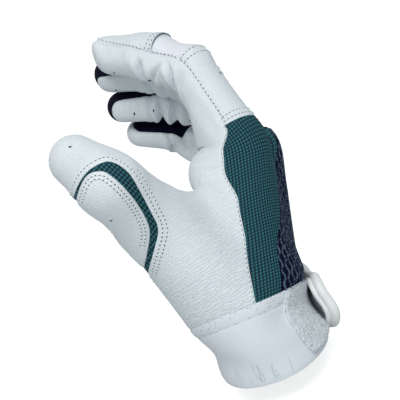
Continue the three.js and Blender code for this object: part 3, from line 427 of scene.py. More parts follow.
def own(v, i):
    """1 on a finger, 0 on its neighbours."""
    return smooth(on_finger(v, i) / 2 + 0.5)


def on_pair(v, i):
    return np.delete(v.near, [i, i + 1], 1).min(1) / 2 - v.near[:, [i, i + 1]].min(1) / 2


def sideways(v, i):
    return v.shares[:, i] * v.radius[:, i] * np.sin(np.radians(v.angle[:, i]))


def between_fingers(v, i):
    return sideways(v, i) - sideways(v, i + 1)


def past_flex_start(v, i):
    return v.s[:, i] - FINGERS[i].flex_start


def past_flex_end(v, i):
    return v.s[:, i] - FINGERS[i].flex_end


def before_tip(v, i):
    return FINGERS[i].total - TIP_EDGE - v.s[:, i]


def in_tip_leather(v, i):
    return rounded(over_back(v), before_tip(v, i), TIP_CORNER)


def in_tip_wall(v, i):
    if i in (0, LAST):
        return rounded(least(-over_back(v), -over_palm(v)), before_tip(v, i), TIP_CORNER)
    return least(-in_tip_leather(v, i), -rounded(over_palm(v), before_tip(v, i), TIP_CORNER))


def in_tip_pad(v, i):
    if i in (0, LAST):
        return least(-in_tip_leather(v, i), -in_tip_wall(v, i))
    return rounded(over_palm(v), before_tip(v, i), TIP_CORNER)


def before_back_leather(v):
    return BACK_LEATHER_START - v.blended


def on_mesh_side(v):
    return v.p[:, 1] - along(MESH_SEAM, v.p[:, 2])


def on_palm_side(v):
    return (v.p - THUMB_SEAM_POINT) @ unit(THUMB_SEAM_NORMAL)


def over_cuff(v):
    return above_cuff_top(v.q)


def before_flex(v):
    return v.flex_start - v.own_s


thumb_back = unit(THUMB_BACK)
thumb_along = unit(thumb_directions[1] - thumb_back * (thumb_directions[1] @ thumb_back))
thumb_across = np.cross(thumb_back, thumb_along)


def curve_through(points, steps):
    points = np.array(points, float)
    t = np.linspace(0, len(points) - 1, steps + 1)
    i = np.minimum(t.astype(int), len(points) - 2)
    t = (t - i)[:, None]
    a, b, c, d = (points[np.clip(i + k, 0, len(points) - 1)] for k in (-1, 0, 1, 2))
    return b + t * ((c - a) / 2 + t * (a - 2.5 * b + 2 * c - d / 2 + t * (1.5 * (b - c) + (d - a) / 2)))


OUTLINE_STEPS = 6
OUTLINES = {name: curve_through(points, len(points) * OUTLINE_STEPS)
            for name, points in (("crescent", CRESCENT), ("patch", PATCH))}


def thumb_place(p):
    w = p - thumb_joint
    return w @ thumb_along, w @ thumb_across


def in_outline(v, name):
    u, w = thumb_place(v.p)
    bone = np.where((u < 0)[:, None], thumb_directions[1], thumb_directions[2])
    depth = (v.p - thumb_joint) @ thumb_back - u * (bone @ thumb_back) / (bone @ thumb_along)
    nearest = np.full(len(u), np.inf)
    inside = np.zeros(len(u), bool)
    line = OUTLINES[name]
    for a, b in zip(np.roll(line, 1, 0), line):
        d = b - a
        t = np.clip(((u - a[0]) * d[0] + (w - a[1]) * d[1]) / (d @ d + 1e-12), 0, 1)
        nearest = np.minimum(nearest, np.hypot(u - a[0] - d[0] * t, w - a[1] - d[1] * t))
        if a[1] != b[1]:
            inside ^= ((a[1] > w) != (b[1] > w)) & (u < a[0] + d[0] * (w - a[1]) / d[1])
    return least(np.where(inside, nearest, -nearest), depth + PATCH_WRAP)


def in_crescent(v):
    return in_outline(v, "crescent")


def in_patch(v):
    return in_outline(v, "patch")


def past_thumb_base(v):
    return (v.p - thumb_joint) @ thumb_directions[1] + THUMB_CREASE


def past_thumb_crease(v):
    return (v.p - thumb_joint) @ thumb_directions[2] - THUMB_CREASE


def cuff_angle(q):
    x, y, depth, width = cuff_section(q[:, 2])
    return np.degrees(np.arctan2((q[:, 1] - y) / width, (q[:, 0] - x) / depth))


def round_cuff(v, degrees):
    return np.radians(wrapped(cuff_angle(v.q) - degrees)) * TOP_HALF_WIDTH


def over_hem(v):
    x, y = np.maximum(-v.q[:, 0], 0), np.maximum(v.q[:, 1], 0)
    rise = HEM_RISE * x * x / (x + HEM_RISE_ONSET)
    return v.q[:, 2] - rise + HEM_DROP * y * y / (y + HEM_DROP_ONSET)


def in_seam_band(v):
    return over_cuff(v) + SEAM_BAND_HEIGHT


# Bowed front edge of the loop field: furthest angle, its height over the cuff's top seam, bow.
LOOP_EDGE_ANGLE, LOOP_EDGE_HEIGHT, LOOP_EDGE_BOW = -47.5, -16, 0.04


def in_loop_field(v):
    return round_cuff(v, LOOP_EDGE_ANGLE + LOOP_EDGE_BOW * (over_cuff(v) - LOOP_EDGE_HEIGHT) ** 2)


def of_finger(seam, i):
    return lambda v: seam(v, i)


def off(seam, *others):
    """The other side of a seam."""
    return lambda v: -seam(v, *others)


# The form as a fine net of triangles.
NET, COARSE, CLOSE_CELLS = 1.5, 6, 1.6
GRID_LOW, GRID_HIGH = np.array((-95.0, -100, -40)), np.array((45.0, 110, 212))
CHUNK = 250000


def in_chunks(f, p):
    return np.concatenate([f(p[i:i + CHUNK]) for i in range(0, len(p), CHUNK)])


def net_of_form():
    count = np.ceil((GRID_HIGH - GRID_LOW) / NET).astype(int) + 1
    # Cells far from the surface are told from a coarse grid and need no close look.
    low_count = count // COARSE + 2
    centres = np.stack(np.meshgrid(*map(np.arange, low_count), indexing="ij"), -1) + 0.5
    far = in_chunks(form, (centres * COARSE * NET + GRID_LOW).reshape(-1, 3)).reshape(low_count)
    value = far.repeat(COARSE, 0).repeat(COARSE, 1).repeat(COARSE, 2)[
        :count[0], :count[1], :count[2]].copy()
    close = np.argwhere(np.abs(value) < COARSE * NET * CLOSE_CELLS)
    value[tuple(close.T)] = in_chunks(form, GRID_LOW + close * NET)
    inside = value < 0
    corners = np.array([(a, b, c) for a in (0, 1) for b in (0, 1) for c in (0, 1)])
    ends = (slice(None, -1), slice(1, None))
    filled = sum(inside[ends[a], ends[b], ends[c]].astype(int) for a, b, c in corners)
    mixed = (filled > 0) & (filled < 8)
    number = np.full(mixed.shape, -1)
    cells = np.argwhere(mixed)
    number[mixed] = np.arange(len(cells))
    total, crossings = np.zeros((len(cells), 3)), np.zeros(len(cells))
    for i, a in enumerate(corners):
        for b in corners[i + 1:]:
            if np.abs(a - b).sum() != 1:
                continue
            va, vb = value[tuple((cells + a).T)], value[tuple((cells + b).T)]
            cut = (va < 0) != (vb < 0)
            t = np.where(cut, va / np.where(cut, va - vb, 1), 0)
            total[cut] += (a + t[:, None] * (b - a))[cut]
            crossings += cut
    p = GRID_LOW + NET * (cells + total / crossings[:, None])
    quads = []
    for axis in range(3):
        u, w = (axis + 1) % 3, (axis + 2) % 3
        here, there = [slice(None)] * 3, [slice(None)] * 3
        here[axis], there[axis] = slice(None, -1), slice(1, None)
        edges = np.argwhere(inside[tuple(here)] != inside[tuple(there)])
        edges = edges[(edges[:, u] > 0) & (edges[:, w] > 0)]
        ring = []
        for du, dw in ((1, 1), (0, 1), (0, 0), (1, 0)):
            cell = edges.copy()
            cell[:, u] -= du
            cell[:, w] -= dw
            ring.append(number[tuple(cell.T)])
        quad = np.stack(ring, 1)
        outward = inside[tuple(edges.T)]
        quads.append(np.where(outward[:, None], quad, quad[:, ::-1]))
    for _ in range(2):
        p = onto_form(p, NET / 2)
    quads = np.concatenate(quads)
    a, b, c, d = quads.T
    short = np.linalg.norm(p[a] - p[c], axis=1) < np.linalg.norm(p[b] - p[d], axis=1)
    one = np.where(short[:, None], quads[:, [0, 1, 2]], quads[:, [0, 1, 3]])
    two = np.where(short[:, None], quads[:, [0, 2, 3]], quads[:, [1, 2, 3]])
    return p, np.concatenate([one, two])


net_points, net_triangles = net_of_form()
net_places = places(net_points)


def compacted(p, triangles):
    used, numbers = np.unique(triangles, return_inverse=True)
    return p[used], numbers.reshape(-1, 3)


def crossings(p, triangles, height):
    """Where the zero line of a height crosses some triangles.

    Gives each crossed triangle's corners, the lone one first, the numbers of the two points where its
    sides are crossed, and those points."""
    inside = height > 0
    filled = inside[triangles].sum(1)
    mixed = triangles[(filled == 1) | (filled == 2)]
    flags = inside[mixed]
    lone = np.where(flags.sum(1) == 1, flags.argmax(1), flags.argmin(1))
    corners = np.take_along_axis(mixed, (lone[:, None] + np.arange(3)) % 3, 1)
    ends = np.sort(corners[:, [[0, 1], [0, 2]]], 2).reshape(-1, 2)
    edges, numbers = np.unique(ends, axis=0, return_inverse=True)
    ha, hb = height[edges[:, 0]], height[edges[:, 1]]
    t = (ha / (ha - hb))[:, None]
    return corners, numbers.reshape(-1, 2), p[edges[:, 0]] * (1 - t) + p[edges[:, 1]] * t


def clipped(p, triangles, height):
    """The part of some triangles where the height is positive."""
    inside = height > 0
    corners, cuts, points = crossings(p, triangles, height)
    (a, b, c), (ab, ac) = corners.T, cuts.T + len(p)
    held = inside[a]
    kept = [triangles[inside[triangles].all(1)], np.stack([a, ab, ac], 1)[held],
            np.stack([ab, b, c], 1)[~held], np.stack([ab, c, ac], 1)[~held]]
    return compacted(np.concatenate([p, points]), np.concatenate(kept))


# Crumbs left by the cuts, and parts of another finger that the same cuts meet, are left out.
SMALLEST_PART, PART_REACH = 0.05, 40


def main_parts(p, triangles):
    label = np.arange(len(p))
    while True:
        low = label[triangles].min(1)
        fresh = label.copy()
        for k in range(3):
            np.minimum.at(fresh, triangles[:, k], low)
        fresh = fresh[fresh]
        if (fresh == label).all():
            break
        label = fresh
    owner = label[triangles[:, 0]]
    names, sizes = np.unique(owner, return_counts=True)
    middles = np.array([p[triangles[owner == name]].mean((0, 1)) for name in names])
    near = np.linalg.norm(middles - middles[sizes.argmax()], axis=1) < PART_REACH
    kept = names[near & (sizes > SMALLEST_PART * sizes.max())]
    return compacted(p, triangles[np.isin(owner, kept)])


def cut_out(seams):
    keep = np.ones(len(net_triangles), bool)
    for seam in seams:
        keep &= (seam(net_places)[net_triangles] > 0).any(1)
    p, triangles = compacted(net_points, net_triangles[keep])
    for seam in seams:
        p, triangles = clipped(p, triangles, seam(places(p)))
    return main_parts(p, triangles)


# Colours and materials.
def colour(hex_code):
    """Linear colour of an sRGB hex code."""
    parts = [int(hex_code[i:i + 2], 16) / 255 for i in (1, 3, 5)]
    return tuple(c / 12.92 if c <= 0.04045 else ((c + 0.055) / 1.055) ** 2.4 for c in parts) + (1,)


def add(tree, kind, settings=None, inputs=None):
    """Adds a shader node with its settings. An input is a value, a socket, or a node's first output."""
    made = tree.nodes.new("ShaderNode" + kind)
    for key, value in (settings or {}).items():
        setattr(made, key, value)
    for key, value in (inputs or {}).items():
        if isinstance(value, bpy.types.Node):
            value = value.outputs[0]
        if isinstance(value, bpy.types.NodeSocket):
            tree.links.new(value, made.inputs[key])
        else:
            made.inputs[key].default_value = value
    return made


def new_material(name):
    material = bpy.data.materials.new(name)
    material.use_nodes = True
    material.node_tree.nodes.clear()
    return material, material.node_tree


def finish_material(tree, **values):
    inputs = {key.replace("_", " "): value for key, value in values.items()}
    add(tree, "OutputMaterial", None, {"Surface": add(tree, "BsdfPrincipled", None, inputs)})


# Leather wrinkles run this way on the hand, up from the heel of the palm to the index side. The grain
# is drawn coarser than the skin's own, which is finer than a pixel of the picture.
WRINKLE_ALONG = (0.905, 0.06, 0.42)
WRINKLE_ACROSS = (-0.37, -0.36, 0.855)
WRINKLE_PITCH, WRINKLE_LENGTH, WRINKLE_SPREAD, WRINKLE_WANDER = 1.3, 5.5, 3.0, 2.7
GRAIN_CELL, GRAIN_FLAT, HOLLOW_SHARE = 0.9, 0.25, 0.7


def leather(name, hex_code, hollow_shade_hex, roughness, wrinkle_depth, grain_depth):
    """Leather: pebble grain everywhere, long shallow wrinkles on the palm, with painted shade in their
    hollows. Depths in millimetres.
    """
    material, tree = new_material(name)
    layout = add(tree, "Attribute", {"attribute_name": "layout"}).outputs["Vector"]
    lengths = []
    for direction in (WRINKLE_ALONG, WRINKLE_ACROSS, tuple(np.cross(WRINKLE_ALONG, WRINKLE_ACROSS))):
        dot = add(tree, "VectorMath", {"operation": "DOT_PRODUCT"}, {0: layout, 1: direction})
        lengths.append(dot.outputs["Value"])
    spread = {k: add(tree, "Math", {"operation": "DIVIDE"}, {0: lengths[k], 1: size})
              for k, size in enumerate((WRINKLE_LENGTH, WRINKLE_SPREAD, WRINKLE_LENGTH))}
    # Wrinkles are ripples side by side, led off their line by a stretched noise so that they fork.
    wander = add(tree, "TexNoise", None, {
        "Vector": add(tree, "CombineXYZ", None, spread), "Scale": 1.0, "Detail": 2.0})
    row = add(tree, "Math", {"operation": "DIVIDE"}, {0: lengths[1], 1: WRINKLE_PITCH})
    row = add(tree, "Math", {"operation": "MULTIPLY_ADD"}, {0: wander, 1: WRINKLE_WANDER, 2: row})
    swing = add(tree, "Math", {"operation": "SINE"}, {
        0: add(tree, "Math", {"operation": "MULTIPLY"}, {0: row, 1: 2 * math.pi})})
    waves = add(tree, "Math", {"operation": "MULTIPLY_ADD"}, {0: swing, 1: 0.5, 2: 0.5})
    amount = add(tree, "Attribute", {"attribute_name": "wrinkle"}).outputs["Fac"]
    place = add(tree, "VectorMath", {"operation": "SCALE"}, {0: layout, "Scale": 1 / GRAIN_CELL})
    cells = add(tree, "TexVoronoi", {"feature": "DISTANCE_TO_EDGE"}, {"Vector": place, "Scale": 1.0})
    grain = add(tree, "Math", {"operation": "MINIMUM"}, {0: cells, 1: GRAIN_FLAT})
    rise = add(tree, "Math", {"operation": "MULTIPLY"}, {0: amount, 1: wrinkle_depth * MM})
    pebble = add(tree, "Math", {"operation": "MULTIPLY"}, {0: grain, 1: grain_depth * MM})
    height = add(tree, "Math", {"operation": "MULTIPLY_ADD"}, {0: waves, 1: rise, 2: pebble})
    bump = add(tree, "Bump", None, {"Strength": 1.0, "Distance": 1.0, "Height": height})
    # Painted shade darkens the hollows between the wrinkles.
    hollow = add(tree, "MapRange", None, {"Value": waves, "From Min": 0.0, "From Max": HOLLOW_SHARE})
    painted_hollow_shade = add(tree, "Math", {"operation": "MULTIPLY_ADD"}, {
        0: add(tree, "Math", {"operation": "SUBTRACT"}, {0: hollow, 1: 1.0}), 1: amount, 2: 1.0})
    shade = add(tree, "Mix", {"data_type": "RGBA"}, {0: painted_hollow_shade, 6: colour(hollow_shade_hex), 7: colour(hex_code)})
    finish_material(tree, Base_Color=shade.outputs[2], Roughness=roughness, Normal=bump,
                    Sheen_Weight=0.15, Sheen_Roughness=0.5)
    return material


# Threads of the stretch weave, drawn at the spacing that the photograph shows, and their fibres.
WARP_PITCH, WEFT_PITCH, THREAD_RISE = 1.72, 1.4, 0.3
FIBRES_PER_MM, FIBRE_RISE = 3.0, 0.1
# Shares of the rise where the colour turns from the painted shade of the gaps to the painted light of the
# threads.
GAP_SHARE, LIT_SHARE = 0.1, 0.8


def weave(name, light, gap_shade):
    """Tight plain weave: small raised threads in rows, with painted shade in the gaps between them and
    painted light on their crossings.
    """
    material, tree = new_material(name)
    rise = add(tree, "Attribute", {"attribute_name": "rise"}).outputs["Fac"]
    place = add(tree, "Attribute", {"attribute_name": "layout"}).outputs["Vector"]
    fibre = add(tree, "TexNoise", None, {"Vector": place, "Scale": FIBRES_PER_MM, "Detail": 2.0})
    bump = add(tree, "Bump", None, {"Strength": 1.0, "Distance": FIBRE_RISE * MM, "Height": fibre})
    # Painted light on the raised crossings, painted shade in the gaps between them.
    lit = add(tree, "MapRange", {"interpolation_type": "SMOOTHSTEP"}, {
        "Value": rise, "From Min": GAP_SHARE, "From Max": LIT_SHARE})
    shade = add(tree, "Mix", {"data_type": "RGBA"}, {0: lit, 6: colour(gap_shade), 7: colour(light)})
    finish_material(tree, Base_Color=shade.outputs[2], Roughness=0.85, Normal=bump,
                    Specular_IOR_Level=0.25)
    return material


# Shares of the noise where a mixed yarn turns from its main colour to its flecks.
FLECK_START, FLECK_FULL = 0.45, 0.6


def plain(name, hex_code, roughness, nap=0.0, nap_size=1.0, specular=0.4, fleck=None):
    """One colour, with a soft uneven nap where the material has one and flecks where it is mixed.

    Depth and size of the nap are in millimetres."""
    material, tree = new_material(name)
    values = dict(Base_Color=colour(hex_code), Roughness=roughness, Specular_IOR_Level=specular)
    if nap:
        layout = add(tree, "Attribute", {"attribute_name": "layout"}).outputs["Vector"]
        place = add(tree, "VectorMath", {"operation": "SCALE"}, {0: layout, "Scale": 1 / nap_size})
        noise = add(tree, "TexNoise", None, {"Vector": place, "Scale": 1.0, "Detail": 3.0})
        values["Normal"] = add(tree, "Bump", None, {
            "Strength": 1.0, "Distance": nap * MM, "Height": noise})
        if fleck is not None:
            spots = add(tree, "MapRange", None, {
                "Value": noise, "From Min": FLECK_START, "From Max": FLECK_FULL})
            values["Base_Color"] = add(tree, "Mix", {"data_type": "RGBA"}, {
                0: spots, 6: colour(hex_code), 7: colour(fleck)}).outputs[2]
    finish_material(tree, **values)
    return material


MATERIALS = dict(
    # Sheepskin, tanned soft and tumbled: fine pebbles, and wrinkles where the palm folds, with painted
    # shade in their hollows.
    white_leather=leather("tumbled_white_sheepskin", "#e4eaee", "#cdd8dd", roughness=0.55,
                          wrinkle_depth=0.12, grain_depth=0.45),
    # The same skin pressed smooth under heat: hardly any grain, a little gloss, and faint painted shade
    # in the hollows of its wrinkles.
    flex_leather=leather("pressed_white_sheepskin", "#e6e8ee", "#dadee5", roughness=0.42,
                         wrinkle_depth=0.04, grain_depth=0.12),
    # Elastic yarn in a plain weave: painted light on the crossings in rows, painted shade in the gaps
    # between them, no gloss.
    teal_weave=weave("plain_woven_teal_elastic", "#2f6b75", "#041c27"),
    # Fine warp knit of nylon and elastane: its loops are too small to see, so one matt dark colour.
    navy_stretch=plain("warp_knitted_navy_nylon", "#02031c", 0.8, nap=0.15, nap_size=0.8, specular=0.1),
    # Thin knitted ground that carries the cables and lies in their shade.
    navy_mesh=plain("knitted_navy_nylon_ground", "#040724", 0.9, nap=0.2, nap_size=0.8, specular=0.1),
    # Split hide, sanded to a short nap: matt, with soft uneven shading.
    cuff_suede=plain("sanded_white_suede", "#dde2e8", 0.85, nap=0.3, nap_size=0.9, specular=0.2),
    # Nylon loops pulled up from a tape: a rough pile that scatters light.
    loop_pile=plain("raised_white_nylon_loops", "#e0e5ea", 0.95, nap=0.5, nap_size=0.8, specular=0.1),
    # Rubber pressed in a polished mould: smooth, with broad soft highlights.
    moulded_rim=plain("moulded_white_rubber", "#ecedec", 0.35),
    # Stiff nylon hooks cut from loops, too fine to draw one by one: a rough grey field.
    hook_field=plain("cut_grey_nylon_hooks", "#a3b1b7", 0.9, nap=0.5, nap_size=0.9, specular=0.2),
)
# Cable of navy and grey yarns knitted together: dark, with pale flecks.
knit_cable = plain("knitted_polyester_cable", "#131e38", 0.85, nap=0.2, nap_size=0.5, specular=0.2,
                   fleck="#586a7c")
# Bonded polyester thread, drawn thicker than the real one so that a stitch shows: smooth and white.
thread = plain("bonded_polyester_thread", "#e6ebee", 0.6)
# What cutting, pricking and creasing leave in leather and suede: raw edges with painted shadow beside
# them, and holes and lines of painted shade.
cut_edge_and_shadow = plain("raw_cut_leather_edge", "#5b6d74", 0.8, specular=0.2)
needle_hole, suede_hole_shade, suede_crease_shade, vent_hole = (
    plain(name, shade, 0.9, specular=0.1) for name, shade in (
        ("needle_hole_shadow", "#3f4d55"), ("needle_mark_in_suede", "#99a4ae"),
        ("crease_in_suede", "#bfc7cf"), ("vent_hole_shadow", "#1f2a30")))


def mesh_object(name, vertices, faces, material, attributes=None):
    """A smooth mesh from millimetre arrays. Faces all have the same number of corners."""
    mesh = bpy.data.meshes.new(name)
    sides = faces.shape[1]
    mesh.vertices.add(len(vertices))
    mesh.vertices.foreach_set("co", (np.asarray(vertices) * MM).astype(np.float32).ravel())
    mesh.loops.add(faces.size)
    mesh.loops.foreach_set("vertex_index", faces.astype(np.int32).ravel())
    mesh.polygons.add(len(faces))
    mesh.polygons.foreach_set("loop_start", np.arange(0, faces.size, sides, dtype=np.int32))
    mesh.update(calc_edges=True)
    mesh.polygons.foreach_set("use_smooth", np.ones(len(faces), bool))
    for key, values in (attributes or {}).items():
        if values.ndim == 1:
            mesh.attributes.new(key, "FLOAT", "POINT").data.foreach_set(
                "value", values.astype(np.float32))
        else:
            mesh.attributes.new(key, "FLOAT_VECTOR", "POINT").data.foreach_set(
                "vector", values.astype(np.float32).ravel())
    mesh.materials.append(material)
    thing = bpy.data.objects.new(name, mesh)
    bpy.context.scene.collection.objects.link(thing)
    return thing


# Motions of the pieces: one body, or two bodies with the ends of a span over a joint.
BLEND_INSET = 3


def flex_span(i):
    ends = []
    for s in (FINGERS[i].flex_start + BLEND_INSET, FINGERS[i].flex_end - BLEND_INSET):
        at = int(round((s + TRACK_BEFORE) / TRACK_STEP))
        ends.append(to_glove(FINGERS[i].track[at, 0]) * MM)
    return ("hand", FINGERS[i].name + "_end", *map(Vector, ends))


thumb_span = ("hand", "thumb_end",
              Vector(to_glove(thumb_joint - thumb_directions[1] * (THUMB_CREASE - BLEND_INSET)) * MM),
              Vector(to_glove(thumb_joint + thumb_directions[2] * (THUMB_CREASE - BLEND_INSET)) * MM))


def dress(thing, motion, node=None):
    """Hides the CAD node that a piece stands in for, and hangs the piece on its body's empty, or bakes
    its place where its motion spans two bodies.
    """
    if node is not None:
        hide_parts(node)
    if isinstance(motion, str):
        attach(thing, motion)
    else:
        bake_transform(thing)


# Folds of the leather, as heights over the form. Each fold on a finger is its place along it, depth,
# half width, middle and reach round the finger, and skew.
FINGER_FOLDS = {
    "index": ((62.5, 3.2, 1.6, 220, 50, 0.06), (55.5, 2.0, 1.3, 226, 50, -0.1),
              (40.5, 3.1, 1.6, 230, 50, 0.2), (37, 0.9, 1.1, 248, 40, 0.08),
              (74, 0.3, 1.3, 240, 45, 0.05)),
    "middle": ((69, 2.4, 1.5, 190, 90, 0.02), (60, 1.5, 1.3, 190, 80, 0.02),
               (53, 1.2, 1.5, 200, 80, 0.0), (82, 0.3, 1.5, 190, 60, 0.0)),
    "ring": ((77.5, 1.6, 1.3, 185, 70, 0.0), (72, 3.6, 2.0, 160, 70, 0.0),
             (63.5, 2.0, 1.5, 170, 75, 0.0), (55, 1.4, 1.8, 185, 90, 0.0)),
    "little": ((58, 2.0, 1.4, 190, 85, 0.08), (48, 2.0, 1.4, 190, 85, 0.08)),
}
# A fold is sharp at its bottom, and the leather stands up in a lip on both sides of it.
EDGE_POWER, LIP_SHARE, LIP_AT, LIP_HALF, FOLD_STEEPNESS = 1.5, 0.3, 2.4, 1.3, 1.4
# Finger pads: how far they stand out from the plain form, their middle and their reach round it.
PADS = {"index": (2.3, 222, 75), "middle": (2.0, 200, 88), "ring": (2.2, 198, 85),
        "little": (0.4, 205, 85)}
PAD_STEEPNESS, PAD_START, PAD_RISE_LENGTH, PAD_FALL_LENGTH = 1.3, -6, 10, 12
# Before its joint the little finger is flatter underneath.
LITTLE_DIP, LITTLE_DIP_START, LITTLE_DIP_FADE = 5.0, 12, 14
LITTLE_DIP_END, LITTLE_DIP_RAMP = 62, 18
# The end of the index finger is squared off at its upper corner and tucked in under its pad: height,
# place and half length along it, middle and reach round it.
TIP_SQUARE, TIP_TUCK = (2.4, 92, 3.5, 297, 28), (-1.0, 93.5, 4, 235, 35)
# The edges of the flex panels stand up on the back of the fingers.
PANEL_END_RISE, PANEL_END_AT, PANEL_END_HALF = (2.0, 0.8, 0.8, 0.8), 1, 6.0
PANEL_START_RISE, PANEL_START_AT, PANEL_START_HALF = (1.0, 0.8, 0.8, 0.8), -2, 4.0
PANEL_DIP, PANEL_DIP_AT, PANEL_DIP_HALF, PANEL_EDGE_FADE = 0.6, 4, 4, 7.0
# The hem of the middle finger's back leather lies low behind the index knuckle.
KNUCKLE_DIP, KNUCKLE_DIP_HALF = 2.4, 8
# Cushion of the palm under the index and middle fingers: middle in the layout, spread and height.
CUSHION_Y, CUSHION_Z, CUSHION_WIDE, CUSHION_HIGH, CUSHION_RISE, CUSHION_FADE = -16, 103, 15, 15, 16.5, 6


def index_tip(v):
    height = 0
    for rise, at, half, middle, reach in (TIP_SQUARE, TIP_TUCK):
        turn = wrapped(v.angle[:, 0] - middle)
        height = height + rise * hump(v.s[:, 0], at, half) * hump(turn, 0, reach)
    return own(v, 0) * height


def cushion(v):
    spread = hump(v.p[:, 1], CUSHION_Y, CUSHION_WIDE) * hump(v.p[:, 2], CUSHION_Z, CUSHION_HIGH)
    return CUSHION_RISE * spread * smooth(-v.p[:, 0] / CUSHION_FADE)


def panel_edges(v):
    s = v.own_s - v.flex_start
    end = np.array([f.flex[1] for f in FINGERS])[v.nearest] + PANEL_END_AT
    rise = np.array(PANEL_END_RISE)[v.nearest] * hump(s, end, PANEL_END_HALF)
    rise += np.array(PANEL_START_RISE)[v.nearest] * hump(s, PANEL_START_AT, PANEL_START_HALF)
    rise -= PANEL_DIP * (v.nearest == 0) * hump(s, PANEL_DIP_AT, PANEL_DIP_HALF)
    sunk = KNUCKLE_DIP * (v.nearest == 1) * hump(v.own_s, BACK_LEATHER_START, KNUCKLE_DIP_HALF)
    return rise * smooth(over_back(v) / PANEL_EDGE_FADE) + index_tip(v) - sunk


def leather_folds(v):
    height = index_tip(v) + cushion(v)
    for i, finger in enumerate(FINGERS):
        on, s = own(v, i), v.s[:, i]
        swell, middle, reach = PADS[finger.name]
        under = smooth(PAD_STEEPNESS * (1 - np.abs(wrapped(v.angle[:, i] - middle)) / reach))
        span = smooth((s - finger.flex_start - PAD_START) / PAD_RISE_LENGTH)
        height += swell * on * under * span * smooth((finger.total - s) / PAD_FALL_LENGTH)
        if i == LAST:
            dip = smooth((LITTLE_DIP_END - s) / LITTLE_DIP_RAMP)
            height -= LITTLE_DIP * on * under * dip * smooth((s - LITTLE_DIP_START) / LITTLE_DIP_FADE)
        for at, depth, half, middle, reach, skew in FINGER_FOLDS[finger.name]:
            turn = wrapped(v.angle[:, i] - middle)
            across = np.abs(s - at - skew * turn) / half
            shape = np.exp(-across ** EDGE_POWER) - LIP_SHARE * hump(across, LIP_AT, LIP_HALF)
            height -= depth * on * shape * smooth(FOLD_STEEPNESS * (1 - np.abs(turn) / reach))
    return height


# Stretch walls follow the leather beside them, and the little finger's swells towards the ring finger.
WALL_FOLD_REACH = 2.5
WALL_SWELL, WALL_SWELL_TURN, WALL_SWELL_REACH, WALL_SWELL_FULL = 1.4, -90, 60, 1.3
WALL_SWELL_START, WALL_SWELL_END, WALL_SWELL_RAMP = 5, 52, 10


def wall_folds(v):
    near_leather = np.exp(np.minimum(over_palm(v), 0) / WALL_FOLD_REACH)
    s, turn = v.s[:, LAST], np.abs(wrapped(v.angle[:, LAST] - WALL_SWELL_TURN))
    swell = WALL_SWELL * own(v, LAST) * smooth(WALL_SWELL_FULL - turn / WALL_SWELL_REACH)
    swell = swell * smooth((s - WALL_SWELL_START) / WALL_SWELL_RAMP)
    swell = swell * smooth((WALL_SWELL_END - s) / WALL_SWELL_RAMP)
    return leather_folds(v) * near_leather + swell * (1 - near_leather)


THUMB_DENT, THUMB_DENT_AT, THUMB_DENT_HALF, THUMB_DENT_EDGE = 1.3, 3, 9, 6


def thumb_dent(v):
    """The upper side of the thumb is straighter over its joint than the plain form."""
    u, w = thumb_place(v.p)
    upper = smooth((-w - THUMB_DENT_EDGE) / THUMB_DENT_EDGE)
    return -THUMB_DENT * hump(u, THUMB_DENT_AT, THUMB_DENT_HALF) * upper


WRIST_DENT, WRIST_DENT_AT, WRIST_DENT_HALF, WRIST_DENT_FADE = 4.6, -9, 9, 18
HEM_FLARE, HEM_FLARE_HEIGHT, HEM_FLARE_START, HEM_FLARE_FADE = 2.0, 12, -5, 20
PALM_DENT, PALM_DENT_HEIGHT, PALM_DENT_HALF, PALM_DENT_FADE = 2.0, 11, 7, 15


def strap_share(angle):
    """From 0 at the root of the strap to 1 at its free end."""
    return smooth((STRAP_ROOT - angle) / (STRAP_ROOT - STRAP_END))


def strap_dent(height):
    """The wrist is drawn in under the free end of the strap, by height over the cuff's top seam."""
    return WRIST_DENT * hump(height, WRIST_DENT_AT, WRIST_DENT_HALF)


def wrist_shape(v):
    """The back of the wrist is drawn in by the strap and flares out at the hem."""
    x, height = v.q[:, 0], over_hem(v)
    dent = smooth(x / WRIST_DENT_FADE) * strap_share(cuff_angle(v.q)) * strap_dent(over_cuff(v))
    dent += PALM_DENT * smooth(-x / PALM_DENT_FADE) * hump(height, PALM_DENT_HEIGHT, PALM_DENT_HALF)
    flare = smooth((x - HEM_FLARE_START) / HEM_FLARE_FADE) * smooth(1 - height / HEM_FLARE_HEIGHT)
    return HEM_FLARE * flare - dent


def seam_relief(v, edges):
    """Height lost towards the edges of a piece: each edge is (seam, depth, width)."""
    height = np.zeros(len(v.p))
    for seam, depth, width in edges:
        height = np.minimum(height, -depth * np.exp(-(np.maximum(seam(v), 0) / width) ** EDGE_POWER))
    return height


def sides_of(triangles):
    return np.concatenate([triangles[:, [0, 1]], triangles[:, [1, 2]], triangles[:, [2, 0]]])


def finer(p, triangles):
    """Each triangle in four, the new points drawn onto the form."""
    edges, numbers = np.unique(np.sort(sides_of(triangles), 1), axis=0, return_inverse=True)
    ab, bc, ca = (numbers.reshape(-1) + len(p)).reshape(3, -1)
    middle = onto_form(p[edges].mean(1))
    a, b, c = triangles.T
    parts = ((a, ab, ca), (b, bc, ab), (c, ca, bc), (ab, bc, ca))
    return np.concatenate([p, middle]), np.concatenate([np.stack(part, 1) for part in parts])


WARP_ROUNDNESS = 1.2


def thread_rise(cloth):
    """How far the threads of the weave stand up, 0 to 1, at places along and across the cloth."""
    across, along_it = cloth.T[:2] / np.array((WARP_PITCH, WEFT_PITCH))[:, None]
    return np.abs(np.cos(np.pi * across)) ** WARP_ROUNDNESS * np.abs(np.cos(np.pi * along_it))


PIECES = {}
# Thicknesses, and how often a piece's net is halved for its weave or its pile.
LEATHER, STRETCH_FABRIC, KNIT_MESH, CUFF_FABRIC, LINING = 1.2, 1.0, 1.5, 2.0, 0.6
WEAVE_SPLITS, PILE_SPLITS = 2, 2
PLAIN_WRINKLE = 0.3


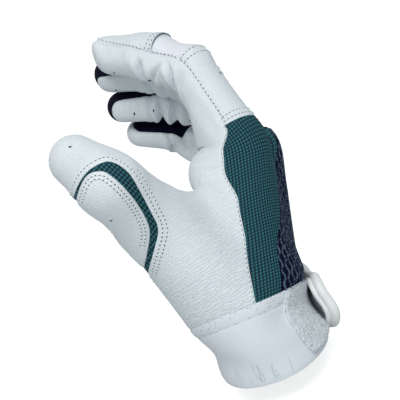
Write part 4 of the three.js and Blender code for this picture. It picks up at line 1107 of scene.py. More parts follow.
def sewn(name, slot, motion, seams, edges=(), thickness=LEATHER, level=0.0, folds=None,
         weave_of=None, wrinkle=None, splits=0, rough=0.0, lining=False):
    """One sewn piece: cut along its seams, closed, raised to its level and given its thickness.

    A lining has no solid of its own in the CAD, so it stands in for none."""
    def height(v):
        lift = level + seam_relief(v, edges)
        return lift if folds is None else lift + folds(v)

    p, triangles = cut_out(seams)
    PIECES[name] = SimpleNamespace(height=height, motion=motion, p=p, triangles=triangles,
                                   places=places(p))
    for _ in range(splits):
        p, triangles = finer(p, triangles)
    v = places(p)
    normal = closed_normal(p)
    outer = closed(p) + normal * height(v)[:, None]
    if weave_of is not None:
        rise = thread_rise(weave_of(v))
        outer = outer + normal * (rise * THREAD_RISE)[:, None]
    if rough:
        outer = outer + normal * rng.normal(0, rough, (len(p), 1))
    inner = outer - normal * thickness
    count = len(p)
    sides = sides_of(triangles)
    key = sides.min(1) * count + sides.max(1)
    _, first, uses = np.unique(key, return_index=True, return_counts=True)
    a, b = sides[first[uses == 1]].T
    wall = np.stack([outer[b], outer[a], inner[a], inner[b]], 1).reshape(-1, 3)
    numbers = np.arange(len(wall)).reshape(-1, 4) + 2 * count
    faces = np.concatenate([triangles, triangles[:, ::-1] + count,
                            numbers[:, [0, 1, 2]], numbers[:, [0, 2, 3]]])
    source = np.concatenate([np.arange(count), np.arange(count), np.stack([b, a, a, b], 1).ravel()])
    attributes = dict(layout=p[source])
    attributes["wrinkle"] = (np.full(count, PLAIN_WRINKLE) if wrinkle is None else wrinkle(v))[source]
    if weave_of is not None:
        attributes["rise"] = rise[source]
    thing = mesh_object(name + "_sewn", np.concatenate([outer, inner, wall]), faces, MATERIALS[slot],
                        attributes)
    dress(thing, motion, None if lining else name)


# Places on the woven pieces, across and along the cloth.
SIDE_ROW_LEAN = 0.3
SIDE_PANEL_RADIUS = ((-85, 31), (-40, 24), (0, 16), (10, 13))


def side_cloth(v):
    turn = np.arctan2(v.side[:, 0], v.back[:, 0]) + np.pi / 2
    across = turn * along(SIDE_PANEL_RADIUS, v.s[:, 0])
    return np.stack([across, v.s[:, 0] - SIDE_ROW_LEAN * v.p[:, 0]], 1)


def crescent_cloth(v):
    return np.stack(thumb_place(v.p), 1)


LEAST_WRINKLE = 0.35
WRINKLE_TOP, WRINKLE_FADE, WRINKLE_THUMB_SIDE, WRINKLE_THUMB_FADE = 70, 45, -62, 25


def palm_wrinkle(v):
    """Long wrinkles show most on the heel of the palm and fade towards fingers and thumb."""
    low = smooth((WRINKLE_TOP - v.p[:, 2]) / WRINKLE_FADE)
    off_thumb = smooth((v.p[:, 1] - WRINKLE_THUMB_SIDE) / WRINKLE_THUMB_FADE)
    return LEAST_WRINKLE + (1 - LEAST_WRINKLE) * low * off_thumb


# How the edges of pieces roll down: depth, and width in from the edge.
SOFT_EDGE, VALLEY, HAND_EDGE = (0.45, 0.8), (0.8, 1.0), (0.5, 0.8)
PATCH_EDGE, LOOP_EDGE, BAND_EDGE, HEM_EDGE = (0.6, 0.9), (0.6, 0.8), (0.4, 0.6), (0.5, 0.9)
# How far the outsides of pieces lie over the form.
SUNK_LEVEL, FORK_LEVEL, MESH_LEVEL, PATCH_LEVEL = -0.55, -0.3, -0.4, -0.1
PANEL_LEVEL, TIP_LEVEL, BAND_LEVEL = -0.7, 0.25, 0.15
LOOP_ROUGH, LOOP_TOP_MARGIN = 0.2, 0.8

for i in range(LAST):
    name = f"fork_{FINGERS[i].name}_{FINGERS[i + 1].name}"
    sewn(name, "navy_stretch", "hand",
         [of_finger(on_pair, i), of_finger(between_fingers, i), lambda v: v.blended - FORK_START,
          off(over_back), off(over_palm), before_flex],
         thickness=STRETCH_FABRIC, level=FORK_LEVEL, folds=wall_folds)

sewn("palm_leather", "white_leather", "hand", [over_palm, on_palm_side, over_cuff, before_flex],
     [(over_palm, *VALLEY), (on_palm_side, *HAND_EDGE), (over_cuff, *SOFT_EDGE)], folds=leather_folds,
     wrinkle=palm_wrinkle, splits=1)
sewn("thumb_leather", "white_leather", "hand",
     [over_palm, off(on_palm_side), over_cuff, off(past_thumb_base), off(in_crescent)],
     [(over_palm, *SOFT_EDGE), (off(on_palm_side), *HAND_EDGE), (over_cuff, *SOFT_EDGE),
      (off(in_crescent), *SOFT_EDGE)], folds=thumb_dent, wrinkle=palm_wrinkle)
sewn("thumb_crease_leather", "white_leather", thumb_span,
     [past_thumb_base, off(past_thumb_crease), off(in_crescent)], [(off(in_crescent), *SOFT_EDGE)],
     folds=thumb_dent)
sewn("thumb_tip_leather", "white_leather", "thumb_end", [past_thumb_base, past_thumb_crease],
     folds=thumb_dent)
sewn("thumb_inset", "teal_weave", thumb_span, [in_crescent, off(in_patch), off(past_thumb_crease)],
     thickness=STRETCH_FABRIC, level=SUNK_LEVEL, folds=thumb_dent, weave_of=crescent_cloth,
     splits=WEAVE_SPLITS)
sewn("thumb_patch", "white_leather", thumb_span, [in_patch, off(past_thumb_crease)],
     [(in_patch, *PATCH_EDGE)], level=PATCH_LEVEL)
# A leather lining shows where the opened thumb parts the seams on the inner side of its joint.
LINING_REACH, LINING_BALL, LINING_LEVEL = 11, 25, -1.8
thumb_bisector = unit(thumb_directions[1] + thumb_directions[2])
sewn("thumb_lining", "white_leather", thumb_span,
     [lambda v: LINING_REACH - np.abs((v.p - thumb_joint) @ thumb_bisector),
      lambda v: LINING_BALL - np.linalg.norm(v.p - thumb_joint, axis=1)],
     thickness=LINING, level=LINING_LEVEL, folds=thumb_dent, lining=True)
sewn("side_panel", "teal_weave", "hand",
     [off(over_palm), before_back_leather, off(on_mesh_side), over_cuff],
     thickness=STRETCH_FABRIC, level=SUNK_LEVEL, folds=wrist_shape, weave_of=side_cloth,
     splits=WEAVE_SPLITS)
sewn("back_mesh", "navy_mesh", "hand", [off(over_palm), before_back_leather, on_mesh_side, over_cuff],
     thickness=KNIT_MESH, level=MESH_LEVEL, folds=wrist_shape)

for i, finger in enumerate(FINGERS):
    here, past_start, past_end, tip_back, tip_wall, tip_pad = (
        of_finger(seam, i) for seam in (on_finger, past_flex_start, past_flex_end, in_tip_leather,
                                        in_tip_wall, in_tip_pad))
    end = finger.name + "_end"
    span = flex_span(i)
    sewn(f"{finger.name}_crease_sleeve", "white_leather", span,
         [here, past_start, off(past_end), off(over_back)], [(off(over_back), *VALLEY)],
         folds=leather_folds, splits=1)
    sewn(f"{finger.name}_back_leather", "white_leather", "hand",
         [here, off(before_back_leather), over_back, off(past_start)],
         [(over_back, *VALLEY), (off(before_back_leather), *SOFT_EDGE), (off(past_start), *SOFT_EDGE)],
         folds=panel_edges)
    sewn(f"{finger.name}_flex_panel", "flex_leather", span,
         [here, past_start, off(past_end), over_back], [(over_back, *VALLEY)], level=PANEL_LEVEL,
         folds=panel_edges)
    sewn(f"{finger.name}_tip_leather", "white_leather", end, [here, past_end, tip_back],
         [(tip_back, *VALLEY)], level=TIP_LEVEL, folds=panel_edges)
    sewn(f"{finger.name}_tip_gusset", "navy_stretch", end, [here, past_end, tip_wall],
         thickness=STRETCH_FABRIC, level=FORK_LEVEL, folds=wall_folds)
    sewn(f"{finger.name}_pad_leather", "white_leather", end, [here, past_end, tip_pad],
         [(tip_pad, *VALLEY)], folds=leather_folds, splits=1)

sewn("cuff_seam_band", "cuff_suede", "hand", [off(over_cuff), in_seam_band],
     [(off(over_cuff), *HAND_EDGE), (in_seam_band, *BAND_EDGE)], thickness=CUFF_FABRIC,
     level=BAND_LEVEL, folds=wrist_shape)
sewn("cuff_band", "cuff_suede", "hand",
     [off(in_seam_band), over_hem, lambda v: np.abs(round_cuff(v, SLIT_ANGLE)) - SLIT_WIDTH / 2],
     [(off(in_seam_band), *BAND_EDGE), (over_hem, *HEM_EDGE)], thickness=CUFF_FABRIC,
     folds=wrist_shape)
sewn("loop_patch", "loop_pile", "hand",
     [in_loop_field, lambda v: -round_cuff(v, LOOP_END), lambda v: -over_cuff(v) - LOOP_TOP_MARGIN,
      lambda v: over_hem(v) - LOOP_HEM_MARGIN],
     [(in_loop_field, *LOOP_EDGE)], thickness=LOOP_THICKNESS, level=LAYER_GAP + LOOP_THICKNESS,
     folds=wrist_shape, splits=PILE_SPLITS, rough=LOOP_ROUGH)


# Rows of stitches. Each lies on a sewn piece at a set distance from one of its seams.
def lines_where(name, field):
    """Lines of the layout, on a sewn piece, where a field is zero."""
    piece = PIECES[name]
    _, cuts, points = crossings(piece.p, piece.triangles, field(piece.places))
    links = {}
    for m, n in cuts.tolist():
        links.setdefault(m, []).append(n)
        links.setdefault(n, []).append(m)
    lines = []
    while links:
        here = min(links, key=lambda k: (len(links[k]), k))
        line = [here]
        while here in links:
            there = links[here].pop()
            links[there].remove(here)
            for end in (here, there):
                if not links[end]:
                    del links[end]
            line.append(there)
            here = there
        lines.append(points[line])
    return lines


EASE_PASSES = 3


def eased(line):
    for _ in range(EASE_PASSES):
        line = np.concatenate([line[:1], (line[:-2] + 2 * line[1:-1] + line[2:]) / 4, line[-1:]])
    return line


def lengths_along(points):
    return np.concatenate([[0], np.cumsum(np.linalg.norm(np.diff(points, axis=0), axis=1))])


def at_lengths(line, spacing):
    """Points of a layout line, evenly spaced by its length on the closed glove."""
    length = lengths_along(closed(line))
    at = spacing * np.arange(int(length[-1] / spacing) + 1)
    return np.stack([np.interp(at, length, line[:, k]) for k in range(3)], 1)


def on_piece(name, p):
    """Places and normals of layout points on the outside of a sewn piece."""
    normal = closed_normal(p)
    return closed(p) + normal * PIECES[name].height(places(p))[:, None], normal


TUBE_SIDES = 6


def tubes(middles, normals, radii, sides=TUBE_SIDES, flat=1.0):
    """Tubes along rows of points. Middles and normals are rows by points by 3, radii one per point."""
    rows, count = middles.shape[:2]
    direction = unit(np.gradient(middles, axis=1))
    across = unit(np.cross(direction, normals))
    over = np.cross(across, direction)
    turn = 2 * np.pi * np.arange(sides) / sides
    ring = across[:, :, None] * np.cos(turn)[:, None] + over[:, :, None] * (flat * np.sin(turn))[:, None]
    points = middles[:, :, None] + ring * np.asarray(radii)[:, None, None]
    number = np.arange(rows * count * sides).reshape(rows, count, sides)
    after = np.roll(number, -1, 2)
    faces = np.stack([number[:, :-1], after[:, :-1], after[:, 1:], number[:, 1:]], -1).reshape(-1, 4)
    return points.reshape(-1, 3), faces


def tapered(count, start, end=0.97):
    """Shares of a tube's radius along a line that runs out at both ends."""
    return np.sin(np.pi * np.linspace(start, end, count)) ** 0.5


def joined(parts):
    """Several lots of points and faces as one."""
    points, faces, count = [], [], 0
    for p, f in parts:
        points.append(p)
        faces.append(f + count)
        count += len(p)
    return np.concatenate(points), np.concatenate(faces)


# A stitch is a thread over six of its eight steps, and a flat disc of painted shade in the needle's hole
# over the steps after its middle. Heights are over the leather, and shares are of the radius.
STITCH_STEPS, MARK_START = 8, 4
THREAD_RADIUS, HOLE_RADIUS, FINE_HOLE_RADIUS = 0.27, 0.25, 0.15
THREAD_HEIGHTS = np.array((-0.2, 0.1, 0.17, 0.17, 0.1, -0.2))
THREAD_SHARES = np.array((0.4, 1, 1.1, 1.1, 1, 0.4))
HOLE_SHARES = np.array((0.15, 0.9, 1.0, 0.9, 0.15))
MARK_LIFT, MARK_FLAT = 0.03, 0.3
SHORTEST_ROW = 4


def stitch_row(label, name, seam, distance, pitch, keep=None, hole=HOLE_RADIUS, sunk=False):
    """A row of white stitches with painted shade in the needle holes between them."""
    threads, holes = [], []
    for line in lines_where(name, lambda v: seam(v) - distance):
        fine = at_lengths(eased(line), pitch / STITCH_STEPS)
        if len(fine) < SHORTEST_ROW * STITCH_STEPS:
            continue
        q, normal = on_piece(name, fine)
        starts = np.arange(0, len(fine) - STITCH_STEPS, STITCH_STEPS)
        if keep is not None:
            starts = starts[keep(places(fine))[starts] > 0]
        if not len(starts):
            continue
        take = starts[:, None] + np.arange(len(THREAD_HEIGHTS))
        threads.append(tubes(q[take] + normal[take] * THREAD_HEIGHTS[:, None], normal[take],
                             THREAD_RADIUS * THREAD_SHARES))
        take = starts[:, None] + MARK_START + np.arange(len(HOLE_SHARES))
        holes.append(tubes(q[take] + normal[take] * MARK_LIFT, normal[take], hole * HOLE_SHARES,
                           flat=MARK_FLAT))
    for kind, parts, material in (("stitches", threads, thread), ("needle_marks", holes, needle_hole)):
        if parts and not (sunk and kind == "stitches"):
            dress(mesh_object(f"{label}_{kind}", *joined(parts), material),
                  PIECES[name].motion)


SEAM_PITCH, BAND_PITCH, PATCH_PITCH = 2.2, 1.9, 1.9
# How far rows lie in from the edge that they follow.
BAND_ROWS, PATCH_ROWS, CRESCENT_ROWS = (1.5, 3.7), (1.9, 3.5), (1.8, 3.7)
SEAM_ROW, EDGE_ROW = 0.8, 0.7
for i, finger in enumerate(FINGERS):
    back_leather, panel, tip = (f"{finger.name}_{part}" for part in
                                ("back_leather", "flex_panel", "tip_leather"))
    for k, distance in enumerate(BAND_ROWS):
        for row, name, seam in (("flex_tip", tip, of_finger(past_flex_end, i)),
                                ("flex_back", back_leather, off(past_flex_start, i)),
                                ("back_hem", back_leather, off(before_back_leather))):
            stitch_row(f"{finger.name}_{row}_row_{k}", name, seam, distance, BAND_PITCH)
    for row, name, seam in (("back", back_leather, over_back), ("flex", panel, over_back),
                            ("tip", tip, of_finger(in_tip_leather, i))):
        stitch_row(f"{finger.name}_{row}_seam_row", name, seam, SEAM_ROW, SEAM_PITCH, sunk=i > 0)

# Where some rows end: across the thumb, along it, and along the index finger.
PATCH_ROW_END, SECOND_ROW_END, EDGE_ROW_END = 13, -8, BACK_LEATHER_START - 1


def on_near_side(v):
    return PATCH_ROW_END - thumb_place(v.p)[1]


def below_thumb_joint(v):
    return SECOND_ROW_END - thumb_place(v.p)[0]


def below_index_knuckle(v):
    return EDGE_ROW_END - v.s[:, 0]


for k, distance in enumerate(PATCH_ROWS):
    stitch_row(f"thumb_patch_row_{k}", "thumb_patch", in_patch, distance, PATCH_PITCH,
               keep=on_near_side)
for name in ("thumb_leather", "thumb_crease_leather", "thumb_tip_leather"):
    for k, keep in enumerate((None, below_thumb_joint)):
        stitch_row(f"{name}_row_{k}", name, off(in_crescent), CRESCENT_ROWS[k], PATCH_PITCH, keep=keep)
for name in ("palm_leather", "thumb_leather"):
    stitch_row(f"{name}_edge_row", name, over_palm, EDGE_ROW, SEAM_PITCH, keep=below_index_knuckle,
               hole=FINE_HOLE_RADIUS)

# Cut edge of the leather beside the flex panel, a dark line over the smooth panel: partly the grey of the
# raw edge, partly painted shadow cast by the raised leather.
EDGE_RADIUS, EDGE_STEP, EDGE_INSET, EDGE_SINK, EDGE_TAPER = 0.42, 0.6, 0.25, 0.2, 0.03
FEWEST_POINTS = 4
for i, finger in enumerate(FINGERS):
    parts, tip = [], f"{finger.name}_tip_leather"
    for line in lines_where(tip, lambda v: past_flex_end(v, i) - EDGE_INSET):
        fine = at_lengths(eased(line), EDGE_STEP)
        if len(fine) > FEWEST_POINTS:
            q, normal = on_piece(tip, fine)
            parts.append(tubes((q - normal * EDGE_SINK)[None], normal[None],
                               EDGE_RADIUS * tapered(len(q), EDGE_TAPER)))
    if parts:
        dress(mesh_object(f"{finger.name}_panel_edge", *joined(parts), cut_edge_and_shadow),
              finger.name + "_end")

# The band along the top of the cuff is peppered with small needle holes from its zigzag seam, drawn as
# dots of painted shade.
MARKS, MARK_HALF, MARK_RADIUS = 260, 0.3, 0.2
MARK_SHARES = np.array((0.3, 1, 1, 0.3))
band = PIECES["cuff_seam_band"]
spots = band.p[band.triangles].mean(1)[rng.choice(len(band.triangles), MARKS, replace=False)]
q, normal = on_piece("cuff_seam_band", spots)
lean = unit(np.cross(normal, rng.normal(size=(MARKS, 3))))
places_along = MARK_HALF * np.linspace(-1, 1, len(MARK_SHARES))
middles = (q + normal * MARK_LIFT)[:, None] + lean[:, None] * places_along[:, None]
marks = tubes(middles, np.repeat(normal[:, None], len(MARK_SHARES), 1), MARK_RADIUS * MARK_SHARES,
              flat=MARK_FLAT)
dress(mesh_object("cuff_needle_marks", *marks, suede_hole_shade), "hand")

# Faint creases run up the cuff from its hem on the thumb side, in random places and lengths, drawn as
# thin lines of painted shade.
CREASES, CREASE_RADIUS, CREASE_STEP, CREASE_START, CREASE_TAPER = 18, 0.16, 0.5, 0.9, 0.1
CREASE_ANGLES, CREASE_LENGTHS, CREASE_SWAYS, CREASE_PHASES = (-150, -60), (3, 12), (0.5, 2), (0, 6)
CREASE_LEAN, CREASE_WAVE = 0.3, 2
parts = []
for _ in range(CREASES):
    angle, length = rng.uniform(*CREASE_ANGLES), rng.uniform(*CREASE_LENGTHS)
    lean, sway = rng.normal(0, CREASE_LEAN), rng.uniform(*CREASE_SWAYS)
    phase = rng.uniform(*CREASE_PHASES)
    for line in lines_where("cuff_band", lambda v: round_cuff(
            v, angle + lean * over_hem(v) + sway * np.sin(over_hem(v) / CREASE_WAVE + phase))):
        height = over_hem(places(line))
        line = line[(height > CREASE_START) & (height < length)]
        if len(line) > FEWEST_POINTS:
            q, normal = on_piece("cuff_band", at_lengths(eased(line), CREASE_STEP))
            parts.append(tubes(q[None], normal[None], CREASE_RADIUS * tapered(len(q), CREASE_TAPER),
                               flat=MARK_FLAT))
dress(mesh_object("cuff_creases", *joined(parts), suede_crease_shade), "hand")

# Small vent holes punched in the leather, at points of the layout, each a flat disc of painted shade.
VENTS = ((-61.7, -84.5, 72), (-48.7, -72.9, 40.9), (-5.7, -50.1, 168.9), (-6.5, -45.6, 145.2),
         (13, -33.9, 119.4), (-3.1, -4.7, 185), (-3.6, 39.5, 169.7), (-4, 34.5, 159.9),
         (-6.2, 31.4, 140))
VENT_LONG, VENT_WIDE, VENT_LIFT, VENT_SIDES = 0.75, 0.42, 0.06, 12
for k, place in enumerate(np.array(VENTS, float)):
    name = min((n for n in PIECES if n.endswith(("leather", "sleeve", "patch")) and n != "loop_patch"),
               key=lambda n: np.linalg.norm(PIECES[n].p - place, axis=1).min())
    normal = unit(slope(place[None]))[0]
    first = unit(np.cross(normal, Z_AXIS))
    second = np.cross(normal, first)
    turn = 2 * np.pi * np.arange(VENT_SIDES) / VENT_SIDES
    ring = VENT_LONG * np.cos(turn)[:, None] * first + VENT_WIDE * np.sin(turn)[:, None] * second
    q, out = on_piece(name, np.concatenate([[place], place + ring]))
    around = np.arange(VENT_SIDES) + 1
    fan = np.stack([np.zeros(VENT_SIDES, int), around, np.roll(around, -1)], 1)
    dress(mesh_object(f"vent_hole_{k}", q + out * VENT_LIFT, fan, vent_hole),
          PIECES[name].motion)

# Knitted mesh: wavy cables side by side that touch and part, over a dark ground.
CABLE_PITCH, CABLE_WAVE, CABLE_SWING, CABLE_RADIUS, CABLE_STEP = 2.9, 6.0, 0.6, 0.56, 0.5
CABLE_LIFT, CABLE_FLAT, SHORTEST_CABLE = 0.15, 0.55, 8


def across_back(v):
    """Distance round the back of the hand, flat over the back and round the index side."""
    bone = FINGERS[0].knuckle
    share = np.clip(v.p[:, 2] / bone[2], 0, 1)
    middle = bone[1] * (WRIST_NARROWING + (1 - WRIST_NARROWING) * share)
    past = middle - v.p[:, 1]
    turn = np.arctan2(past, v.p[:, 0] - bone[0] * share)
    return np.where(past < 0, v.p[:, 1], middle - np.hypot(past, v.p[:, 0] - bone[0] * share) * turn)


cables, cable_places = [], []
reach = across_back(PIECES["back_mesh"].places)
for k in range(int(reach.min() / CABLE_PITCH), int(reach.max() / CABLE_PITCH) + 1):
    for line in lines_where("back_mesh", lambda v: across_back(v) - k * CABLE_PITCH):
        fine = at_lengths(eased(line), CABLE_STEP)
        if len(fine) < SHORTEST_CABLE:
            continue
        q, normal = on_piece("back_mesh", fine)
        sideways_on = np.cross(unit(np.gradient(q, axis=0)), normal)
        swing = np.cos(2 * np.pi * fine[:, 2] / CABLE_WAVE) * (-1) ** k
        q = q + sideways_on * (CABLE_SWING * swing)[:, None] + normal * CABLE_LIFT
        cables.append(tubes(q[None], normal[None], np.full(len(q), CABLE_RADIUS), flat=CABLE_FLAT))
        cable_places.append(fine.repeat(TUBE_SIDES, 0))
dress(mesh_object("back_mesh_cables", *joined(cables), knit_cable,
                  dict(layout=np.concatenate(cable_places))), "hand")

# Closure strap, by angle round the cuff, height over its top seam and distance off the plain form.
loop_outside = LAYER_GAP + LOOP_THICKNESS
hook_inside = loop_outside + LAYER_GAP
band_inside = hook_inside + HOOK_THICKNESS + LAYER_GAP
band_outside = band_inside + STRAP_THICKNESS
rim_middle = band_inside + STRAP_THICKNESS / 2
strap_low = STRAP_TOP - STRAP_WIDTH
rim_inset = RIM_RADIUS + LAYER_GAP


def degrees_for(distance):
    return np.degrees(distance / TOP_HALF_WIDTH)


# How far the free end stands off the cuff: its bow, its top and lower corners, and over what length.
STRAP_BOW, STRAP_LIFT, LIFT_LENGTH = 4.6, (1.0, 2.0), 17


def strap_lift(angle, height):
    """The stiff free end bows over the dent of the wrist and stands off the cuff at its corners."""
    share = smooth(1 - (angle - STRAP_END) / degrees_for(LIFT_LENGTH))
    t = np.clip((STRAP_TOP - height) / STRAP_WIDTH, 0, 1)
    lift = STRAP_BOW * np.sin(np.pi * t) + STRAP_LIFT[0] * (1 - t) + STRAP_LIFT[1] * t
    return share * lift - strap_share(angle) * strap_dent(height)


CUFF_WALK_START, CUFF_WALK_STEPS = 20, 40


def cuff_points(angle, height, distance):
    """Places round the cuff, and the way out from it there."""
    turn = np.radians(angle)
    outward = np.stack([np.cos(turn), np.sin(turn), np.zeros_like(turn)], -1)
    q = CUFF_TOP + outward * (TOP_HALF_DEPTH, TOP_HALF_WIDTH, 0)
    slide = (height - above_cuff_top(q)) / (unit(CUFF_TOP) @ cuff_top_normal)
    q = q + unit(CUFF_TOP) * slide[..., None] + outward * CUFF_WALK_START
    for _ in range(CUFF_WALK_STEPS):
        q = q - outward * form(to_hand(q.reshape(-1, 3))).reshape(q.shape[:-1] + (1,))
    return q + outward * np.asarray(distance)[..., None], outward


# Share of the room under the lifted end that the hooks fill, and how fast a plate's edge rounds off.
HOOK_FILL, PILLOW_SLOPE = 0.5, 6
THICK_PILLOW, THIN_PILLOW = 0.3, 0.1
# Points across and along the plates.
PLATE_ACROSS, CORNER_STEPS, BAND_STEPS, HOOK_STEPS, ANCHOR_STEPS = 14, 9, 40, 24, 24


def plate(name, slot, motion, angles, edges_at, inside, outside, pillow):
    """A bent plate with softened edges, between two distances off the form."""
    low, high = np.array([edges_at(angle) for angle in angles]).T
    t = np.linspace(0, 1, PLATE_ACROSS)
    angle = np.repeat(angles[:, None], PLATE_ACROSS, 1)
    height = low[:, None] + (high - low)[:, None] * t
    soft = pillow * np.minimum(1, PILLOW_SLOPE * np.minimum(t, 1 - t))
    lift = strap_lift(angle, height) if motion == "closure_strap" else 0
    if name == "hook_patch":
        inside = inside - HOOK_FILL * (lift + strap_share(angle) * strap_dent(height))
    sheets = [cuff_points(angle, height, inside + lift + pillow - soft)[0],
              cuff_points(angle, height, outside + lift - pillow + soft)[0]]
    number = np.arange(angle.size).reshape(angle.shape)
    quads = np.stack([number[:-1, :-1], number[1:, :-1], number[1:, 1:], number[:-1, 1:]], -1)
    quads = quads.reshape(-1, 4)
    border = np.concatenate([number[:, 0], number[-1, 1:], number[::-1, -1][1:], number[0, ::-1][1:]])
    walls = np.stack([border[1:], border[:-1], border[:-1] + number.size, border[1:] + number.size], 1)
    faces = np.concatenate([quads[:, ::-1], quads + number.size, walls])
    points = np.concatenate([sheet.reshape(-1, 3) for sheet in sheets])
    thing = mesh_object(name + "_shaped", points, faces, MATERIALS[slot], dict(layout=points))
    dress(thing, motion, name)


band_end = STRAP_END + degrees_for(rim_inset)
band_corner = RIM_CORNER - rim_inset


def band_edges(angle):
    past = np.clip(np.radians(angle - band_end) * TOP_HALF_WIDTH, 0, band_corner)
    cut = rim_inset + band_corner - math.sqrt(band_corner ** 2 - (band_corner - past) ** 2)
    return strap_low + cut, STRAP_TOP - cut


def hook_edges(_):
    return strap_low + rim_inset + HOOK_MARGIN, STRAP_TOP - rim_inset - HOOK_MARGIN


def anchor_edges(_):
    return strap_low, STRAP_TOP


corner_turn = np.linspace(0, np.pi / 2, CORNER_STEPS)
corner_angles = band_end + degrees_for(band_corner * (1 - np.cos(corner_turn)))
plate("strap_band", "cuff_suede", "closure_strap",
      np.concatenate([corner_angles, np.linspace(corner_angles[-1], STRAP_ROOT, BAND_STEPS)[1:]]),
      band_edges, band_inside, band_outside, pillow=THIN_PILLOW)
hook_angles = band_end + degrees_for(HOOK_MARGIN + HOOK_LENGTH * np.linspace(0, 1, HOOK_STEPS))
plate("hook_patch", "hook_field", "closure_strap", hook_angles, hook_edges, hook_inside,
      band_inside - LAYER_GAP, pillow=THIN_PILLOW)
plate("strap_anchor", "cuff_suede", "hand",
      np.linspace(STRAP_ROOT + degrees_for(STRAP_HINGE_GAP), ANCHOR_END, ANCHOR_STEPS), anchor_edges,
      LAYER_GAP, band_outside, pillow=THICK_PILLOW)

# Rolled rim of the strap, with a thinner ridge moulded under it, both along the same path.
RIDGE_RADIUS, RIDGE_INSET, RIDGE_DROP = 1.35, 0.5, 3.1
RIM_STEP, RIM_CORNER_STEPS, RIM_SIDES, RIM_TIP = 0.5, 17, 20, 0.02


def rim_path(inset):
    corner = RIM_CORNER - inset
    start = np.radians(STRAP_ROOT - STRAP_END) * TOP_HALF_WIDTH - STRAP_HINGE_GAP
    turn = np.linspace(0, np.pi / 2, RIM_CORNER_STEPS)
    across, down = corner * np.sin(turn), corner * np.cos(turn)
    top = np.stack([RIM_CORNER - across, STRAP_TOP - RIM_CORNER + down], 1)
    low = np.stack([RIM_CORNER - down, strap_low + RIM_CORNER - across], 1)
    path = np.concatenate([[[start, STRAP_TOP - inset]], top, low, [[start, strap_low + inset]]])
    length = lengths_along(path)
    at = np.linspace(0, length[-1], int(length[-1] / RIM_STEP))
    return np.stack([np.interp(at, length, path[:, k]) for k in (0, 1)], 1)


def rim_tube(inset, distance, radius):
    x, height = rim_path(inset).T
    angle = STRAP_END + degrees_for(x)
    q, outward = cuff_points(angle, height, distance + strap_lift(angle, height))
    ends = np.minimum(np.arange(len(q)), np.arange(len(q))[::-1]) * RIM_STEP
    shares = np.sqrt(1 - (1 - np.clip((ends + RIM_TIP) / radius, 0, 1)) ** 2)
    return tubes(q[None], outward[None], radius * shares, sides=RIM_SIDES)


points, faces = joined([rim_tube(0, rim_middle, RIM_RADIUS),
                        rim_tube(RIDGE_INSET, rim_middle - RIDGE_DROP, RIDGE_RADIUS)])
rim = mesh_object("strap_rim_rolled", points, faces, MATERIALS["moulded_rim"], dict(layout=points))
dress(rim, "closure_strap", "strap_rim")

# Camera: a long lens from the thumb side, placed so that the picture falls as in the photograph.
VIEW_RIGHT, VIEW_UP, VIEW_BACK = np.array(
    ((0.97, 0.234, -0.064), (0.131, -0.285, 0.95), (0.204, -0.93, -0.307)))
VIEW_POINT, VIEW_DISTANCE = np.array((-43.4, 0.9, 33.9)), 574.14
AIM_RIGHT, AIM_UP = 0.0279, 0.0701
LENS, SENSOR = 110.06, 36
eye = to_glove((VIEW_POINT + VIEW_DISTANCE * VIEW_BACK)[None])[0]
back = unit(WRIST_TURN @ (VIEW_BACK - AIM_RIGHT * VIEW_RIGHT - AIM_UP * VIEW_UP))
right = WRIST_TURN @ VIEW_RIGHT
right = unit(right - back * (right @ back))
up = np.cross(back, right)
camera = bpy.data.objects.new("camera", bpy.data.cameras.new("camera"))
camera.data.lens, camera.data.sensor_width = LENS, SENSOR
camera.data.clip_start, camera.data.clip_end = 0.01, 10
rows = [[*row, place * MM] for row, place in zip(np.stack([right, up, back], 1), eye)]
camera.matrix_world = Matrix(rows + [[0, 0, 0, 1]])
scene = bpy.context.scene
scene.collection.objects.link(camera)
scene.camera = camera
scene.view_settings.view_transform = "Standard"

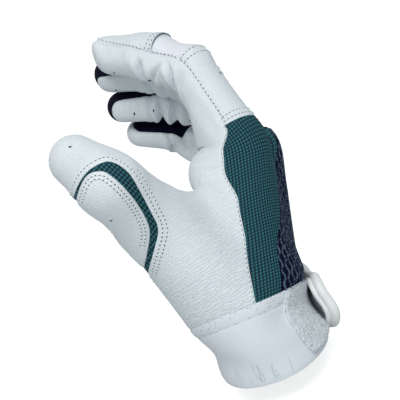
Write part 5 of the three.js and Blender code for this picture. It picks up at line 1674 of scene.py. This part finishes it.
# Light: white surroundings that show as white, a broad soft light above the camera.
AMBIENT = 0.38
AMBIENT_TINT = (0.89, 1.0, 1.03)
world = bpy.data.worlds.new("studio")
scene.world = world
world.use_nodes = True
tree = world.node_tree
tree.nodes.clear()
path = add(tree, "LightPath").outputs
seen = add(tree, "Math", {"operation": "MAXIMUM"}, {0: path["Is Camera Ray"], 1: path["Is Glossy Ray"]})
seen = add(tree, "Math", {"operation": "MAXIMUM"}, {0: seen, 1: path["Is Transmission Ray"]})
soft_white = tuple(AMBIENT * part for part in AMBIENT_TINT) + (1,)
light = add(tree, "Mix", {"data_type": "RGBA"}, {0: seen, 6: soft_white, 7: colour("#ffffff")})
surroundings = add(tree, "Background", None, {"Color": light.outputs[2], "Strength": 1.0})
add(tree, "OutputWorld", None, {"Surface": surroundings})

# The key light stands off the glove's middle by the camera's axes, in metres.
GLOVE_MIDDLE = Vector((-0.01, 0.02, 0.075))
KEY_RIGHT, KEY_UP, KEY_BACK, KEY_SIZE, KEY_WATTS = -0.18, 0.40, 0.65, 0.5, 4.0
key_way = Vector(right * KEY_RIGHT + up * KEY_UP + back * KEY_BACK)
key = bpy.data.objects.new("key", bpy.data.lights.new("key", "AREA"))
key.data.shape, key.data.size, key.data.energy = "DISK", KEY_SIZE, KEY_WATTS
key.location = GLOVE_MIDDLE + key_way
key.rotation_euler = (-key_way).to_track_quat("-Z", "Y").to_euler()
scene.collection.objects.link(key)

# Floor: pale and lifted towards white for the camera, so that it keeps only the soft shadow.
floor_material, tree = new_material("pale_floor")
FLOOR_GLOW = 0.75
seen = add(tree, "LightPath").outputs["Is Camera Ray"]
lit = add(tree, "Math", {"operation": "MULTIPLY"}, {0: seen, 1: FLOOR_GLOW})
matt = add(tree, "BsdfDiffuse", None, {"Color": colour("#e7e7e7")})
glow = add(tree, "Emission", None, {"Color": colour("#ffffff"), "Strength": lit})
add(tree, "OutputMaterial", None, {"Surface": add(tree, "AddShader", None, {0: matt, 1: glow})})
FLOOR_DROP, FLOOR_HALF = 0.5, 3000
floor_height = cad_box[0][2] / MM - FLOOR_DROP
corners = np.array([(x * FLOOR_HALF, y * FLOOR_HALF, floor_height)
                    for x, y in ((-1, -1), (1, -1), (1, 1), (-1, 1))])
floor = mesh_object("floor", corners, np.array([[0, 1, 2, 3]]), floor_material)
